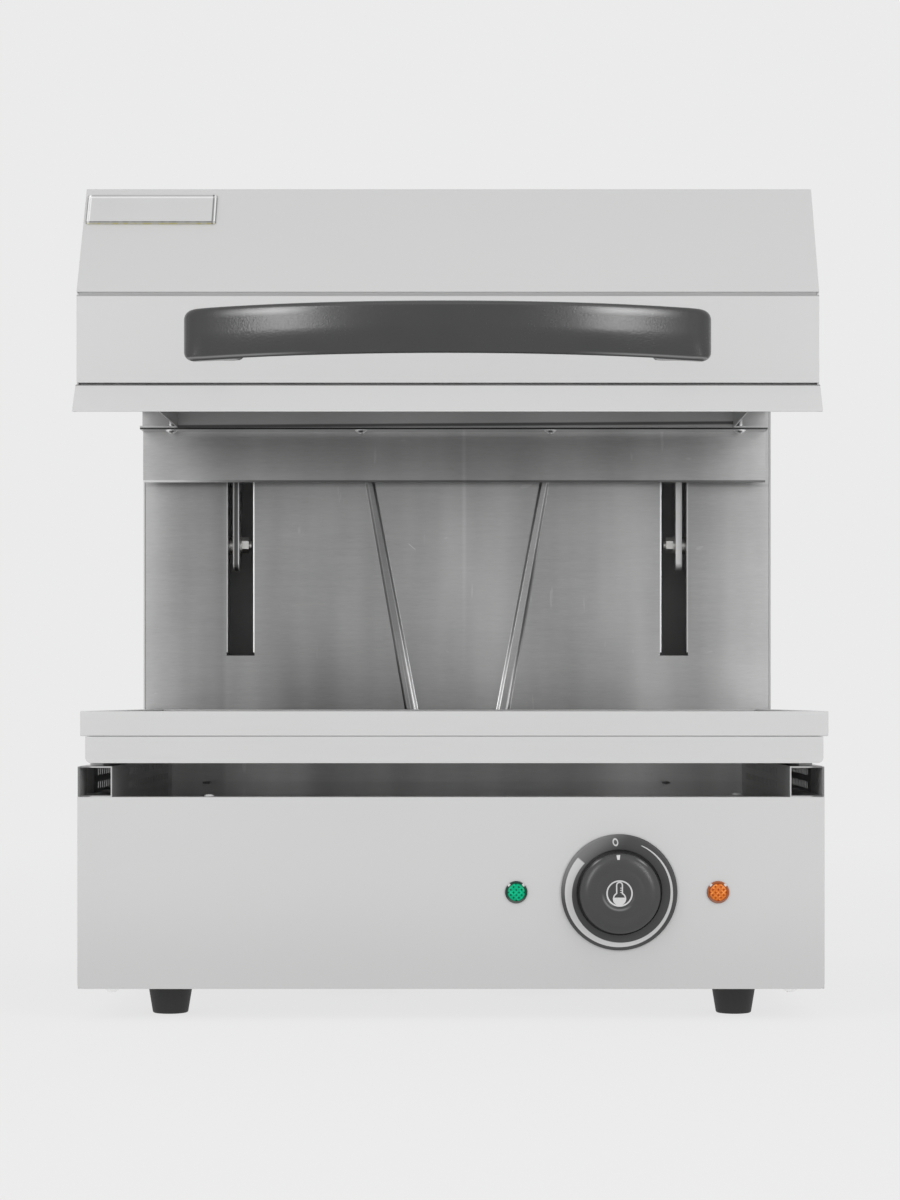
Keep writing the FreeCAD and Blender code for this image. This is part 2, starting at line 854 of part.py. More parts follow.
def make_terminal_block():
    poles = terminal_poles_x()
    half = terminal_pole_pitch / 2
    low = foot_height + sheet
    top = low + terminal_height
    rear = terminal_setback + terminal_depth
    body = block(poles[0] - half - terminal_end_wall, poles[-1] + half + terminal_end_wall,
                 terminal_setback, rear, low, top)
    cuts = []
    for x in poles[:-1]:
        cuts.append(block(x + half - terminal_groove / 2, x + half + terminal_groove / 2,
                          terminal_setback - overrun, rear + overrun, top - overrun,
                          top + overrun))
    for x in poles:
        cuts.append(rod(terminal_screw_radius, (x, terminal_setback + terminal_depth / 2, top),
                        (x, terminal_setback + terminal_depth / 2, top - terminal_screw_sink)))
    return body.cut(cuts)


def make_terminal_screws():
    top = foot_height + sheet + terminal_height
    middle = terminal_setback + terminal_depth / 2
    return group([rod(terminal_screw_radius, (x, middle, top - terminal_screw_sink),
                      (x, middle, top - terminal_groove)) for x in terminal_poles_x()])


# A round wire along straight runs joined by bends of one radius
def wire_run(points):
    places = [place(*point) for point in points]
    edges = []
    start = places[0]
    for before, corner, after in zip(places, places[1:], places[2:]):
        back = (before - corner).normalize()
        ahead = (after - corner).normalize()
        half = back.getAngle(ahead) / 2
        trim = wire_bend / math.tan(half)
        enter = corner + back * trim
        leave = corner + ahead * trim
        centre = corner + (back + ahead).normalize() * (wire_bend / math.sin(half))
        middle = centre + (corner - centre).normalize() * wire_bend
        edges.append(Part.LineSegment(start, enter).toShape())
        edges.append(Part.Arc(enter, middle, leave).toShape())
        start = leave
    edges.append(Part.LineSegment(start, places[-1]).toShape())
    path = Part.Wire(edges)
    section = Part.Wire(Part.makeCircle(wire_radius, places[0], places[1] - places[0]))
    return path.makePipeShell([section], True, False)


def make_control_wiring():
    poles = terminal_poles_x()
    low = foot_height + sheet + terminal_height / 2
    blades = regulator_gap + regulator_depth + blade_length
    wires = []
    for i, row in enumerate((-1, 1)):
        x = dial_x + row * blade_pitch
        z = control_z - blade_pitch
        turn = blades + wire_bend * (2 + i)
        wires.append(wire_run([(x, blades, z), (x, turn, z), (x, turn, low),
                               (poles[i + 2], turn, low), (poles[i + 2], terminal_setback, low)]))
    return group(wires)


def slot_cuts(side):
    middle = side * slot_x
    slot = block(middle - slot_width / 2, middle + slot_width / 2, column_setback - overrun,
                 column_inner + overrun, slot_bottom_z, slot_top_z)
    slit = block(middle - slot_slit_width / 2, middle + slot_slit_width / 2,
                 column_setback - overrun, column_inner + slot_edge_depth + overrun,
                 slot_bottom_z, slot_bottom_z + slot_slit_height)
    return [slot, slit]


def make_column_front():
    panel = block(-fit_x, fit_x, column_setback, column_inner,
                  deck_z - sheet - return_width, column_top_z)
    for side in (-1, 1):
        panel = panel.fuse(rib(side, 0)).cut(rib(side, thin_sheet))
        panel = panel.cut(slot_cuts(side))
        folds = []
        for edge in (-1, 1):
            x = side * slot_x + edge * slot_width / 2
            folds.append(block(x, x + edge * slot_edge, column_setback + sheet / 2,
                               column_inner + slot_edge_depth,
                               slot_bottom_z + slot_slit_height, slot_top_z))
        panel = panel.fuse(folds).removeSplitter()
    return panel


def make_rear_cover():
    cover = block(-fit_x, fit_x, rear_cover_front, base_depth, foot_height + seam,
                  column_top_z - seam)
    cuts = [rod(gland_thread_radius + hole_clearance, gland_at(rear_cover_front - overrun),
                gland_at(base_depth + overrun))]
    first = -vent_spacing * (vent_columns - 1) / 2
    for z0, skipped in ((upper_vent_z, 0), (lower_vent_z, 2)):
        for row in range(vent_rows):
            for column in range(skipped, vent_columns):
                x = first + column * vent_spacing
                z = z0 + row * vent_pitch_z
                cuts.append(block(x - vent_width / 2, x + vent_width / 2,
                                  rear_cover_front - overrun, base_depth + overrun,
                                  z, z + vent_height))
    for side in (-1, 1):
        for z in cover_screw_levels():
            cuts.append(cover_screw_hole(side, z))
    return cover.cut(cuts)


def make_cover_screws():
    screws = []
    for side in (-1, 1):
        x = side * (inner_x - cover_screw_edge)
        for z in cover_screw_levels():
            screws.append(dome_screw(cover_screw_head_radius, cover_screw_head,
                                     cover_screw_radius, (x, base_depth, z),
                                     (x, base_depth - cover_screw_length, z)))
    return group(screws)


def make_column_cap():
    parts = [block(-half_width, half_width, column_setback, base_depth, column_top_z,
                   column_top_z + sheet)]
    for side in (-1, 1):
        parts.append(block(side * (fit_x - sheet), side * fit_x,
                           column_setback + return_width / 2, base_depth - return_width / 2,
                           column_top_z - return_width + seam, column_top_z))
    return together(parts)


def make_guide(side):
    mouth = side * guide_mouth_x
    web = side * guide_web_x
    rear = column_inner + 2 * guide_sheet + guide_channel
    outer = web + side * guide_sheet
    return together([
        block(web, outer, column_inner, rear, guide_bottom_z, guide_top_z),
        block(mouth, outer, column_inner, column_inner + guide_sheet, guide_bottom_z,
              guide_top_z),
        block(mouth, outer, rear - guide_sheet, rear, guide_bottom_z, guide_top_z)])


def bolt_levels():
    return (lower_bolt_z, upper_bolt_z)


def make_slide_blocks():
    blocks = []
    for side in (-1, 1):
        inner = side * guide_mouth_x
        outer = side * (guide_web_x - block_clearance)
        for z in bolt_levels():
            body = block(inner, outer, block_front, block_front + block_depth,
                         z - block_height / 2, z + block_height / 2)
            hole = rod(bolt_radius, (inner - side * overrun, arm_bolt_setback, z),
                       (outer, arm_bolt_setback, z))
            sink = rod(bolt_head_radius, (outer, arm_bolt_setback, z),
                       (outer - side * bolt_head, arm_bolt_setback, z))
            blocks.append(body.cut([hole, sink]))
    return group(blocks)


def make_block_bolts():
    bolts = []
    for side in (-1, 1):
        outer = side * (guide_web_x - block_clearance)
        tip = side * (arm_x - arm_thickness / 2 - washer_thickness - bolt_nut_thickness
                      - bolt_tail)
        for z in bolt_levels():
            bolts.append(flat_screw(bolt_head_radius, bolt_head, bolt_radius,
                                    (outer - side * bolt_head, arm_bolt_setback, z),
                                    (tip, arm_bolt_setback, z)))
    return group(bolts)


def make_block_spacers():
    spacers = []
    for side in (-1, 1):
        for z in bolt_levels():
            spacers.append(tube(washer_radius, bolt_radius,
                                (side * (arm_x + arm_thickness / 2), arm_bolt_setback, z),
                                (side * guide_mouth_x, arm_bolt_setback, z)))
    return group(spacers)


def make_bolt_nuts():
    nuts = []
    for side in (-1, 1):
        face = arm_x - arm_thickness / 2
        under = face - washer_thickness
        for z in bolt_levels():
            washer = rod(washer_radius, (side * face, arm_bolt_setback, z),
                         (side * under, arm_bolt_setback, z))
            nut = hexagon(bolt_nut_across, (side * under, arm_bolt_setback, z),
                          (side * (under - bolt_nut_thickness), arm_bolt_setback, z))
            hole = rod(bolt_radius, (side * face, arm_bolt_setback, z),
                       (side * (under - bolt_nut_thickness), arm_bolt_setback, z))
            nuts.append(washer.fuse(nut).cut(hole))
    return group(nuts)


def flange_bolt_levels():
    middle = (arm_top_z + arm_flange_bottom_z) / 2
    return [middle + (i - (flange_bolt_count - 1) / 2) * flange_bolt_pitch
            for i in range(flange_bolt_count)]


def make_arm(side):
    near = side * (arm_x - arm_thickness / 2)
    far = side * (arm_x + arm_thickness / 2)
    outline = ((hood_rear, arm_flange_bottom_z), (hood_rear, arm_top_z),
               (arm_leg_rear, arm_top_z), (arm_leg_rear, arm_foot_z),
               (arm_leg_front, arm_foot_z), (arm_leg_front, arm_neck_z),
               (arm_neck_front, arm_neck_z), (arm_neck_front, arm_flange_bottom_z))
    plate = side_prism(outline, near, far)
    ends = [edge for edge in plate.Edges if abs(edge.Length - arm_thickness) < seam
            and abs(edge.CenterOfMass.z - arm_foot_z) < seam]
    plate = plate.makeFillet(arm_corner_radius, ends)
    tab = block(near, near + side * arm_flange_width, hood_rear, hood_rear + arm_thickness,
                arm_flange_bottom_z, arm_top_z)
    arm = together([plate, tab])
    cuts = [rod(bolt_radius + hole_clearance / 3, (near - side * overrun, arm_bolt_setback, z),
                (far + side * overrun, arm_bolt_setback, z)) for z in bolt_levels()]
    cuts.append(rod(cross_bolt_radius + hole_clearance / 3,
                    (near - side * overrun, arm_bolt_setback, cross_bar_middle_z()),
                    (far + side * overrun, arm_bolt_setback, cross_bar_middle_z())))
    for z in flange_bolt_levels():
        cuts.append(flange_bolt_hole(side, z))
    return arm.cut(cuts)


def flange_bolt_hole(side, z):
    x = side * flange_bolt_x
    return rod(bolt_radius + hole_clearance / 3, (x, rear_panel_front - overrun, z),
               (x, hood_rear + arm_thickness + overrun, z))


def make_flange_bolts():
    bolts = []
    for side in (-1, 1):
        x = side * flange_bolt_x
        seat = hood_rear + arm_thickness
        for z in flange_bolt_levels():
            bolts.append(flat_screw(bolt_head_radius, bolt_radius, bolt_radius, (x, seat, z),
                                    (x, rear_panel_front - bolt_nut_thickness - bolt_tail, z)))
    return group(bolts)


def make_flange_nuts():
    nuts = []
    for side in (-1, 1):
        x = side * flange_bolt_x
        for z in flange_bolt_levels():
            start = (x, rear_panel_front, z)
            end = (x, rear_panel_front - bolt_nut_thickness, z)
            nuts.append(hexagon(bolt_nut_across, start, end).cut(rod(bolt_radius, start, end)))
    return group(nuts)


def cross_bar_middle_z():
    return cross_bar_bottom_z + cross_bar_height / 2


def make_cross_bar():
    top = cross_bar_bottom_z + cross_bar_height
    rear = cross_bar_front + cross_bar_depth
    bar = block(-cross_bar_end_x, cross_bar_end_x, cross_bar_front, rear,
                cross_bar_bottom_z, top)
    hollow_x = cross_bar_end_x - cross_bar_wall
    cuts = [block(-hollow_x, hollow_x, cross_bar_front + cross_bar_wall, rear - cross_bar_wall,
                  cross_bar_bottom_z + cross_bar_wall, top - cross_bar_wall)]
    for side in (-1, 1):
        cuts.append(rod(cross_bolt_radius,
                        (side * (hollow_x - overrun), arm_bolt_setback, cross_bar_middle_z()),
                        (side * (cross_bar_end_x + overrun), arm_bolt_setback,
                         cross_bar_middle_z())))
    return bar.cut(cuts)


def make_cross_bolts():
    z = cross_bar_middle_z()
    return group([flat_screw(cross_bolt_head_radius, cross_bolt_head, cross_bolt_radius,
                             (side * (arm_x + arm_thickness / 2), arm_bolt_setback, z),
                             (side * (cross_bar_end_x - cross_bar_wall - cross_bolt_tip_gap),
                              arm_bolt_setback, z)) for side in (-1, 1)])


def make_balance_springs():
    low = cross_bar_bottom_z + cross_bar_height + spring_gap
    high = anchor_z - spring_gap
    return group([tube(spring_radius, spring_radius - spring_wall,
                       (side * spring_x, arm_bolt_setback, low),
                       (side * spring_x, arm_bolt_setback, high)) for side in (-1, 1)])


def make_spring_anchor():
    return together([
        block(-anchor_half_width, anchor_half_width, column_inner, column_inner + anchor_depth,
              anchor_z, anchor_z + anchor_thickness),
        block(-anchor_half_width, anchor_half_width, column_inner,
              column_inner + anchor_thickness, anchor_z, anchor_z + anchor_height)])


def make_lead_clamp():
    half = lead_clamp_width / 2
    low = foot_height + sheet
    return block(-half, half, arm_bolt_setback - half, arm_bolt_setback + half, low,
                 low + lead_clamp_height)


def make_hood_lead():
    low = foot_height + sheet + lead_clamp_height + spring_gap
    return rod(lead_radius, (0, arm_bolt_setback, low),
               (0, arm_bolt_setback, cross_bar_bottom_z - spring_gap))


def hood_x(x):
    return hood_shift + x


def make_front_panel():
    panel = block(hood_x(-hood_half), hood_x(hood_half), hood_face_setback, face_inner,
                  hood_face_bottom_z, hood_face_top_z)
    fold = block(hood_x(-hood_inner + seam), hood_x(hood_inner - seam), hood_face_setback,
                 face_return_end, hood_face_bottom_z, hood_face_bottom_z + sheet)
    cuts = [rod(handle_screw_radius + hole_clearance / 3, (x, 0, handle_z),
                (x, face_inner + overrun, handle_z)) for x in handle_screw_places()]
    return together([panel, fold]).cut(cuts)


def make_top_cover():
    inner_bottom = hood_face_setback + slope_wall
    slope_end = hood_face_setback + slope_setback
    inner_top = slope_end - sheet * slope_setback / slope_rise + slope_wall
    outline = ((hood_face_setback, slope_bottom_z), (slope_end, hood_top_z),
               (hood_rear, hood_top_z), (hood_rear, hood_top_z - sheet),
               (inner_top, hood_top_z - sheet), (inner_bottom, slope_bottom_z))
    cover = side_prism(outline, hood_x(-hood_half), hood_x(hood_half))
    tongue = block(hood_x(-hood_inner + seam), hood_x(hood_inner - seam), face_inner + seam,
                   face_inner + seam + sheet, slope_bottom_z - lap, slope_bottom_z + sheet)
    return together([cover, tongue])


def lip_inner(z):
    rise = hood_face_bottom_z - lip_gap - lip_bottom_z
    run = hood_face_setback + lip_reach
    wall = sheet * math.hypot(rise, run) / rise
    return -lip_reach + wall + (z - lip_bottom_z) * run / rise


def make_lip():
    top = hood_face_bottom_z - lip_gap
    under = top - sheet
    face = ((-lip_reach, lip_bottom_z), (hood_face_setback, top),
            (lip_inner(under), under), (lip_inner(lip_bottom_z), lip_bottom_z))
    strip = side_prism(face, hood_x(-lip_width / 2), hood_x(lip_width / 2))
    step = face_inner + 2 * sheet
    fold = ((hood_face_setback, top), (step, top), (step, hood_face_bottom_z),
            (lip_flange_end, hood_face_bottom_z), (lip_flange_end, hood_face_bottom_z - sheet),
            (step + sheet, hood_face_bottom_z - sheet), (step + sheet, under),
            (lip_inner(under), under))
    flange_x = hood_inner - seam
    return together([strip, side_prism(fold, hood_x(-flange_x), hood_x(flange_x))])


def cheek_low(depth):
    start = lip_inner(lip_bottom_z) + cheek_lip_gap
    end = rear_panel_front - seam
    share = (depth - start) / (end - start)
    return lip_bottom_z + share * (hood_cheek_rear_z - lip_bottom_z)


def make_cheek(side):
    under = hood_face_bottom_z - lip_gap - sheet
    inner_bottom = hood_face_setback + slope_wall + seam * 2
    inner_top = inner_bottom + slope_setback * (slope_rise - sheet) / slope_rise
    rear = rear_panel_front - seam
    high = hood_top_z - sheet - seam
    start = lip_inner(lip_bottom_z) + cheek_lip_gap
    outline = ((start, cheek_low(start)), (lip_inner(under) + cheek_lip_gap, under),
               (face_inner + seam, hood_face_bottom_z - lip_gap), (face_inner + seam, slope_bottom_z),
               (inner_bottom, slope_bottom_z), (inner_top, high), (rear, high),
               (rear, hood_cheek_rear_z))
    sheet_part = side_prism(outline, hood_x(side * hood_inner), hood_x(side * hood_half))
    strip = ((cheek_flange_start, cheek_low(cheek_flange_start)), (rear, hood_cheek_rear_z),
             (rear, hood_cheek_rear_z + sheet),
             (cheek_flange_start, cheek_low(cheek_flange_start) + sheet))
    fold = side_prism(strip, hood_x(side * (hood_inner - cheek_flange)),
                      hood_x(side * hood_inner))
    return together([sheet_part, fold])


def skirt_screws_x():
    middle = carriage_shift
    return [middle + (i - (skirt_screw_count - 1) / 2) * skirt_screw_pitch
            for i in range(skirt_screw_count)]


def skirt_screw_setback():
    return (skirt_flange_front + rear_panel_front) / 2


def skirt_screw_holes(radius):
    return [rod(radius, (x, skirt_screw_setback(), hood_face_bottom_z - overrun),
                (x, skirt_screw_setback(), hood_face_bottom_z + overrun))
            for x in skirt_screws_x()]


def make_rear_panel():
    low = hood_face_bottom_z + seam
    half_skirt = skirt_width / 2
    parts = [block(hood_x(-hood_half), hood_x(hood_half), rear_panel_front, hood_rear,
                   hood_cheek_rear_z, hood_top_z - sheet - seam),
             block(hood_x(-half_skirt), hood_x(half_skirt), rear_panel_front, hood_rear,
                   low, hood_cheek_rear_z),
             block(hood_x(-half_skirt), hood_x(half_skirt), skirt_flange_front, hood_rear,
                   low, low + sheet)]
    cuts = skirt_screw_holes(skirt_screw_radius + hole_clearance)
    for side in (-1, 1):
        for z in flange_bolt_levels():
            cuts.append(flange_bolt_hole(side, z))
    return together(parts).cut(cuts)


def make_skirt():
    top = hood_face_bottom_z + seam
    half_skirt = skirt_width / 2
    parts = [block(hood_x(-half_skirt), hood_x(half_skirt), skirt_setback - sheet,
                   skirt_setback, skirt_bottom_z, top),
             block(hood_x(-half_skirt), hood_x(half_skirt), skirt_flange_front, skirt_setback,
                   top - sheet, top)]
    return together(parts).cut(skirt_screw_holes(skirt_screw_radius + hole_clearance))


def make_skirt_screws():
    seat = hood_face_bottom_z + seam - sheet
    setback = skirt_screw_setback()
    return group([dome_screw(skirt_screw_head_radius, skirt_screw_head, skirt_screw_radius,
                             (x, setback, seat), (x, setback, seat + skirt_screw_length))
                  for x in skirt_screws_x()])


def element_pairs():
    for i in range(element_count):
        start = element_first + i * element_pitch
        yield start, start + element_spacing


def element_legs():
    return [depth for pair in element_pairs() for depth in pair]


def make_chamber():
    half = chamber_width / 2
    left = carriage_shift - half
    right = carriage_shift + half
    shell = block(left, right, chamber_front, chamber_rear, hood_face_bottom_z, chamber_top_z)
    hollow = block(left + thin_sheet, right - thin_sheet, chamber_front + thin_sheet,
                   chamber_rear - thin_sheet, hood_face_bottom_z - overrun,
                   chamber_top_z - thin_sheet)
    low = hood_face_bottom_z + sheet
    half_flange = chamber_flange_width / 2
    folds = [block(-half_flange, half_flange, chamber_front - chamber_flange, chamber_front,
                   low, low + thin_sheet),
             block(-half_flange, half_flange, chamber_rear, rear_panel_front - seam,
                   low + seam, low + seam + thin_sheet)]
    cuts = [rod(element_radius + hole_clearance, (right - overrun, depth, element_z),
                (right + overrun, depth, element_z)) for depth in element_legs()]
    cuts += skirt_screw_holes(skirt_screw_radius + hole_clearance)
    return shell.cut(hollow).fuse(folds).removeSplitter().cut(cuts)


def make_elements():
    elements = []
    for near, far in element_pairs():
        middle = (near + far) / 2
        radius = (far - near) / 2
        bend = Part.makeTorus(radius, element_radius, place(element_bend_x, middle, element_z))
        keep = block(element_bend_x - radius - element_radius - overrun, element_bend_x,
                     near - element_radius - overrun, far + element_radius + overrun,
                     element_z - element_radius - overrun, element_z + element_radius + overrun)
        parts = [bend.common(keep)]
        for depth in (near, far):
            parts.append(rod(element_radius, (element_bend_x, depth, element_z),
                             (element_end_x, depth, element_z)))
            parts.append(rod(pin_radius, (element_end_x, depth, element_z),
                             (element_end_x + pin_length, depth, element_z)))
        elements.append(together(parts))
    return group(elements)


def make_element_hangers():
    legs = element_legs()
    hangers = []
    for side in (-1, 1):
        x = side * hanger_x
        plate = block(x, x + hanger_sheet, legs[0] - hanger_margin, legs[-1] + hanger_margin,
                      element_z - hanger_margin, chamber_top_z - thin_sheet)
        holes = [rod(element_radius + hanger_clearance, (x - overrun, depth, element_z),
                     (x + overrun, depth, element_z)) for depth in legs]
        hangers.append(plate.cut(holes))
    return group(hangers)


def make_insulators():
    start = carriage_shift + chamber_width / 2
    return group([tube(insulator_radius, element_radius + hanger_clearance,
                       (start, depth, element_z), (start + insulator_length, depth, element_z))
                  for depth in element_legs()])


def make_insulation():
    half = chamber_width / 2 - insulation_margin
    return block(carriage_shift - half, carriage_shift + half,
                 hood_face_setback + slope_setback + insulation_margin,
                 chamber_rear - insulation_margin, insulation_bottom_z, insulation_top_z)


def handle_screw_places():
    offset = handle_length / 2 - handle_screw_inset
    return (hood_x(-offset), hood_x(offset))


def make_handle():
    half = handle_length / 2
    face = hood_face_setback
    end = face - handle_end_reach
    centre_front = -handle_reach
    inner_x_start = half - handle_foot
    low = handle_z - handle_height / 2

    def at(x, depth):
        return place(hood_x(x), depth, low)

    edges = [Part.LineSegment(at(-half, face), at(-half, end)).toShape(),
             Part.Arc(at(-half, end), at(0, centre_front), at(half, end)).toShape(),
             Part.LineSegment(at(half, end), at(half, face)).toShape(),
             Part.LineSegment(at(half, face), at(inner_x_start, face)).toShape(),
             Part.Arc(at(inner_x_start, face), at(0, centre_front + handle_bar),
                      at(-inner_x_start, face)).toShape(),
             Part.LineSegment(at(-inner_x_start, face), at(-half, face)).toShape()]
    body = Part.Face(Part.Wire(edges)).extrude(Vector(0, 0, handle_height))
    corner = [edge for edge in body.Edges if abs(edge.Length - handle_height) < seam
              and abs(abs(edge.CenterOfMass.x - hood_shift) - half) < seam
              and abs(edge.CenterOfMass.y - front_y - end) < seam]
    body = body.makeFillet(handle_foot_corner, corner)
    rounded = []
    for edge in body.Edges:
        middle = edge.CenterOfMass
        flat = abs(middle.z - low) < seam or abs(middle.z - low - handle_height) < seam
        if flat and edge.BoundBox.YMin < front_y + face - seam:
            rounded.append(edge)
    body = body.makeFillet(handle_edge_radius, rounded)
    holes = [rod(handle_screw_radius, (x, face, handle_z), (x, face - handle_screw_depth, handle_z))
             for x in handle_screw_places()]
    return body.cut(holes)


def make_handle_screws():
    return group([flat_screw(handle_screw_head_radius, handle_screw_head, handle_screw_radius,
                             (x, face_inner, handle_z),
                             (x, hood_face_setback - handle_screw_depth, handle_z))
                  for x in handle_screw_places()])


def make_blank_plate():
    plate = Part.makeBox(plate_width, plate_thickness, plate_height,
                         Vector(0, -plate_thickness - plate_gap, 0))
    front = [edge for edge in plate.Edges
             if abs(edge.CenterOfMass.y + plate_thickness + plate_gap) < plate_gap]
    plate = plate.makeChamfer(plate_bevel, front)
    tilt = math.degrees(math.atan2(slope_setback, slope_rise))
    along = slope_length - plate_top_gap - plate_height
    share = along / slope_length
    corner = place(hood_x(plate_side_inset - hood_half), hood_face_setback + slope_setback * share,
                   slope_bottom_z + slope_rise * share)
    plate.Placement = FreeCAD.Placement(corner, FreeCAD.Rotation(Vector(1, 0, 0), -tilt))
    return plate


def make_drip_pan():
    half = pan_width / 2
    body = rounded_panel(tray_shift - half, tray_shift + half, 0, pan_depth, pan_z, pan_top_z,
                         pan_corner_radius)
    cut_half = half - thin_sheet
    hollow = rounded_panel(tray_shift - cut_half, tray_shift + cut_half, thin_sheet,
                           pan_depth - thin_sheet, pan_z + thin_sheet, pan_top_z + overrun,
                           pan_corner_radius - thin_sheet)
    parts = [body.cut(hollow)]
    middle = half_width - rail_width / 2
    for side in (-1, 1):
        parts.append(block(side * middle - runner_width / 2, side * middle + runner_width / 2,
                           runner_end_gap, pan_depth - runner_end_gap,
                           rail_top_z + runner_clearance, pan_z + thin_sheet / 2))
    return together(parts)


def make_rack_frame():
    half = rack_width / 2

    def ring(inset, z0, z1):
        return block(tray_shift - half + inset, tray_shift + half - inset, inset,
                     rack_depth - inset, z0, z1)

    wall = ring(0, rack_z, rack_top_z)
    under = rack_top_z - sheet
    cuts = [ring(sheet, rack_z + sheet, under),
            ring(sheet + rack_top_flange, rack_z, rack_top_z + overrun),
            ring(sheet + rack_bottom_flange, rack_z - overrun, under)]
    return wall.cut(cuts)


def make_rack_wires():
    half = rack_width / 2 - sheet
    z = rack_top_z - sheet - wire_grid_radius
    step = 2 * half / (wire_grid_count + 1)
    wires = [rod(wire_grid_radius, (tray_shift - half + step * (i + 1), sheet, z),
                 (tray_shift - half + step * (i + 1), rack_depth - sheet, z))
             for i in range(wire_grid_count)]
    low = z - wire_grid_radius - cross_wire_radius
    for i in range(cross_wire_count):
        depth = rack_depth * (i + 1) / (cross_wire_count + 1)
        wires.append(rod(cross_wire_radius, (tray_shift - half, depth, low),
                         (tray_shift + half, depth, low)))
    return group(wires)


parts = {
    "control_panel": make_control_panel(),
    "left_side_panel": make_side_panel(-1),
    "right_side_panel": make_side_panel(1),
    "base_deck": make_deck(),
    "cabinet_screws": group([make_deck_screws(), make_corner_screws(), make_cover_screws()]),
    "left_rail": make_rail(-1),
    "right_rail": make_rail(1),
    "bottom_plate": make_bottom_plate(),
    "rubber_feet": make_feet(),
    "foot_fasteners": group([make_foot_screws(), make_foot_nuts()]),
    "energy_regulator": make_regulator(),
    "regulator_shaft": make_shaft(),
    "knob": make_knob(),
    "dial_ring": make_dial_ring(),
    "panel_nuts": group([make_regulator_nut(), make_lamp_nuts()]),
    "lamp_bezels": make_bezels(),
    "green_lens": make_lens(green_lamp_x),
    "orange_lens": make_lens(orange_lamp_x),
    "neon_lamps": make_neon_lamps(),
    "cable_gland": make_gland(),
    "gland_nut": make_gland_nut(),
    "terminal_block": make_terminal_block(),
    "terminal_screws": make_terminal_screws(),
    "control_wiring": make_control_wiring(),
    "column_front_panel": make_column_front(),
    "rear_cover": make_rear_cover(),
    "column_cap": make_column_cap(),
    "left_guide": make_guide(-1),
    "right_guide": make_guide(1),
    "spring_anchor": make_spring_anchor(),
    "balance_springs": make_balance_springs(),
    "hood_lead": make_hood_lead(),
    "lead_clamp": make_lead_clamp(),
    "slide_blocks": make_slide_blocks(),
    "slide_fasteners": group([make_block_bolts(), make_block_spacers(), make_bolt_nuts()]),
    "left_arm": make_arm(-1),
    "right_arm": make_arm(1),
    "arm_fasteners": group([make_flange_bolts(), make_flange_nuts()]),
    "cross_bar": make_cross_bar(),
    "cross_bar_bolts": make_cross_bolts(),
    "hood_front_panel": make_front_panel(),
    "hood_top_cover": make_top_cover(),
    "hood_lip": make_lip(),
    "left_cheek": make_cheek(-1),
    "right_cheek": make_cheek(1),
    "hood_rear_panel": make_rear_panel(),
    "rear_skirt": make_skirt(),
    "skirt_screws": make_skirt_screws(),
    "heating_chamber": make_chamber(),
    "heating_elements": make_elements(),
    "element_hangers": make_element_hangers(),
    "terminal_insulators": make_insulators(),
    "insulation": make_insulation(),
    "handle": make_handle(),
    "handle_screws": make_handle_screws(),
    "blank_plate": make_blank_plate(),
    "drip_pan": make_drip_pan(),
    "rack_frame": make_rack_frame(),
    "rack_wires": make_rack_wires(),
}

os.makedirs("parts", exist_ok=True)
for name, shape in parts.items():
    shape.exportStep(f"parts/{name}.step")
    print(name, len(shape.Solids), "valid" if shape.isValid() else "not valid")
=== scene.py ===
import json
import math
import bmesh
import bpy
import numpy as np
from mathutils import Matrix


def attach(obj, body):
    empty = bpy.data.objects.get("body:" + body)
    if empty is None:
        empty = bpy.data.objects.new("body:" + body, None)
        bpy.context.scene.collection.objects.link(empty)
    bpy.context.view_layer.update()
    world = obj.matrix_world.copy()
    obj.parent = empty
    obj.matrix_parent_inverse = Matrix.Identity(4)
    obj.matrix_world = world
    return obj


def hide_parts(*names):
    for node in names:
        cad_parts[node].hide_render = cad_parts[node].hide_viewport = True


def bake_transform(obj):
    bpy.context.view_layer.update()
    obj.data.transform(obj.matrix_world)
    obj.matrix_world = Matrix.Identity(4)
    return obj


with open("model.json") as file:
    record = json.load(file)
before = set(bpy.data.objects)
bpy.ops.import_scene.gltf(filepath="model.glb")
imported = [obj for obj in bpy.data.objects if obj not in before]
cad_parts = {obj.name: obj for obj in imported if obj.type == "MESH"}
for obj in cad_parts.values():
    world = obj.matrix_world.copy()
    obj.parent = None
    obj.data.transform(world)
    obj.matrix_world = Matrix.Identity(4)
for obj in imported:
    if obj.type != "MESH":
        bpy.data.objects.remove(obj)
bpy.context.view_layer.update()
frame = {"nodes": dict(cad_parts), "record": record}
nodes = frame["nodes"]
bodyOf = {node: body for body, members in frame["record"]["behaviour"]["bodies"].items() for node in members}
slotOf = {part["node"]: part["material_slot"] for part in frame["record"]["subparts"]}
frontY = -0.196  # the base's front plane; depths in this file are measured back from it
print("frame loaded:", len(nodes), "nodes")


# Several values of a dictionary
def values(table, names):
    return [table[name] for name in names.split()]


# Camera: the photograph's vanishing point is right of and below the middle of its frame
view = {
    "place": (0.0235, -1.866, 0.193),
    "lens": 83.2,
    "longPixels": 1200,
    "vanishRight": 40,
    "vanishBelow": 100,
}
cameraData = bpy.data.cameras.new("studioCamera")
cameraData.lens = view["lens"]
cameraData.shift_x = -view["vanishRight"] / view["longPixels"]
cameraData.shift_y = view["vanishBelow"] / view["longPixels"]
camera = bpy.data.objects.new("studioCamera", cameraData)
camera.location = view["place"]
camera.rotation_euler = (math.radians(90), 0, 0)
bpy.context.scene.collection.objects.link(camera)
bpy.context.scene.camera = camera
bpy.context.scene.view_settings.view_transform = "Standard"
print("camera placed")


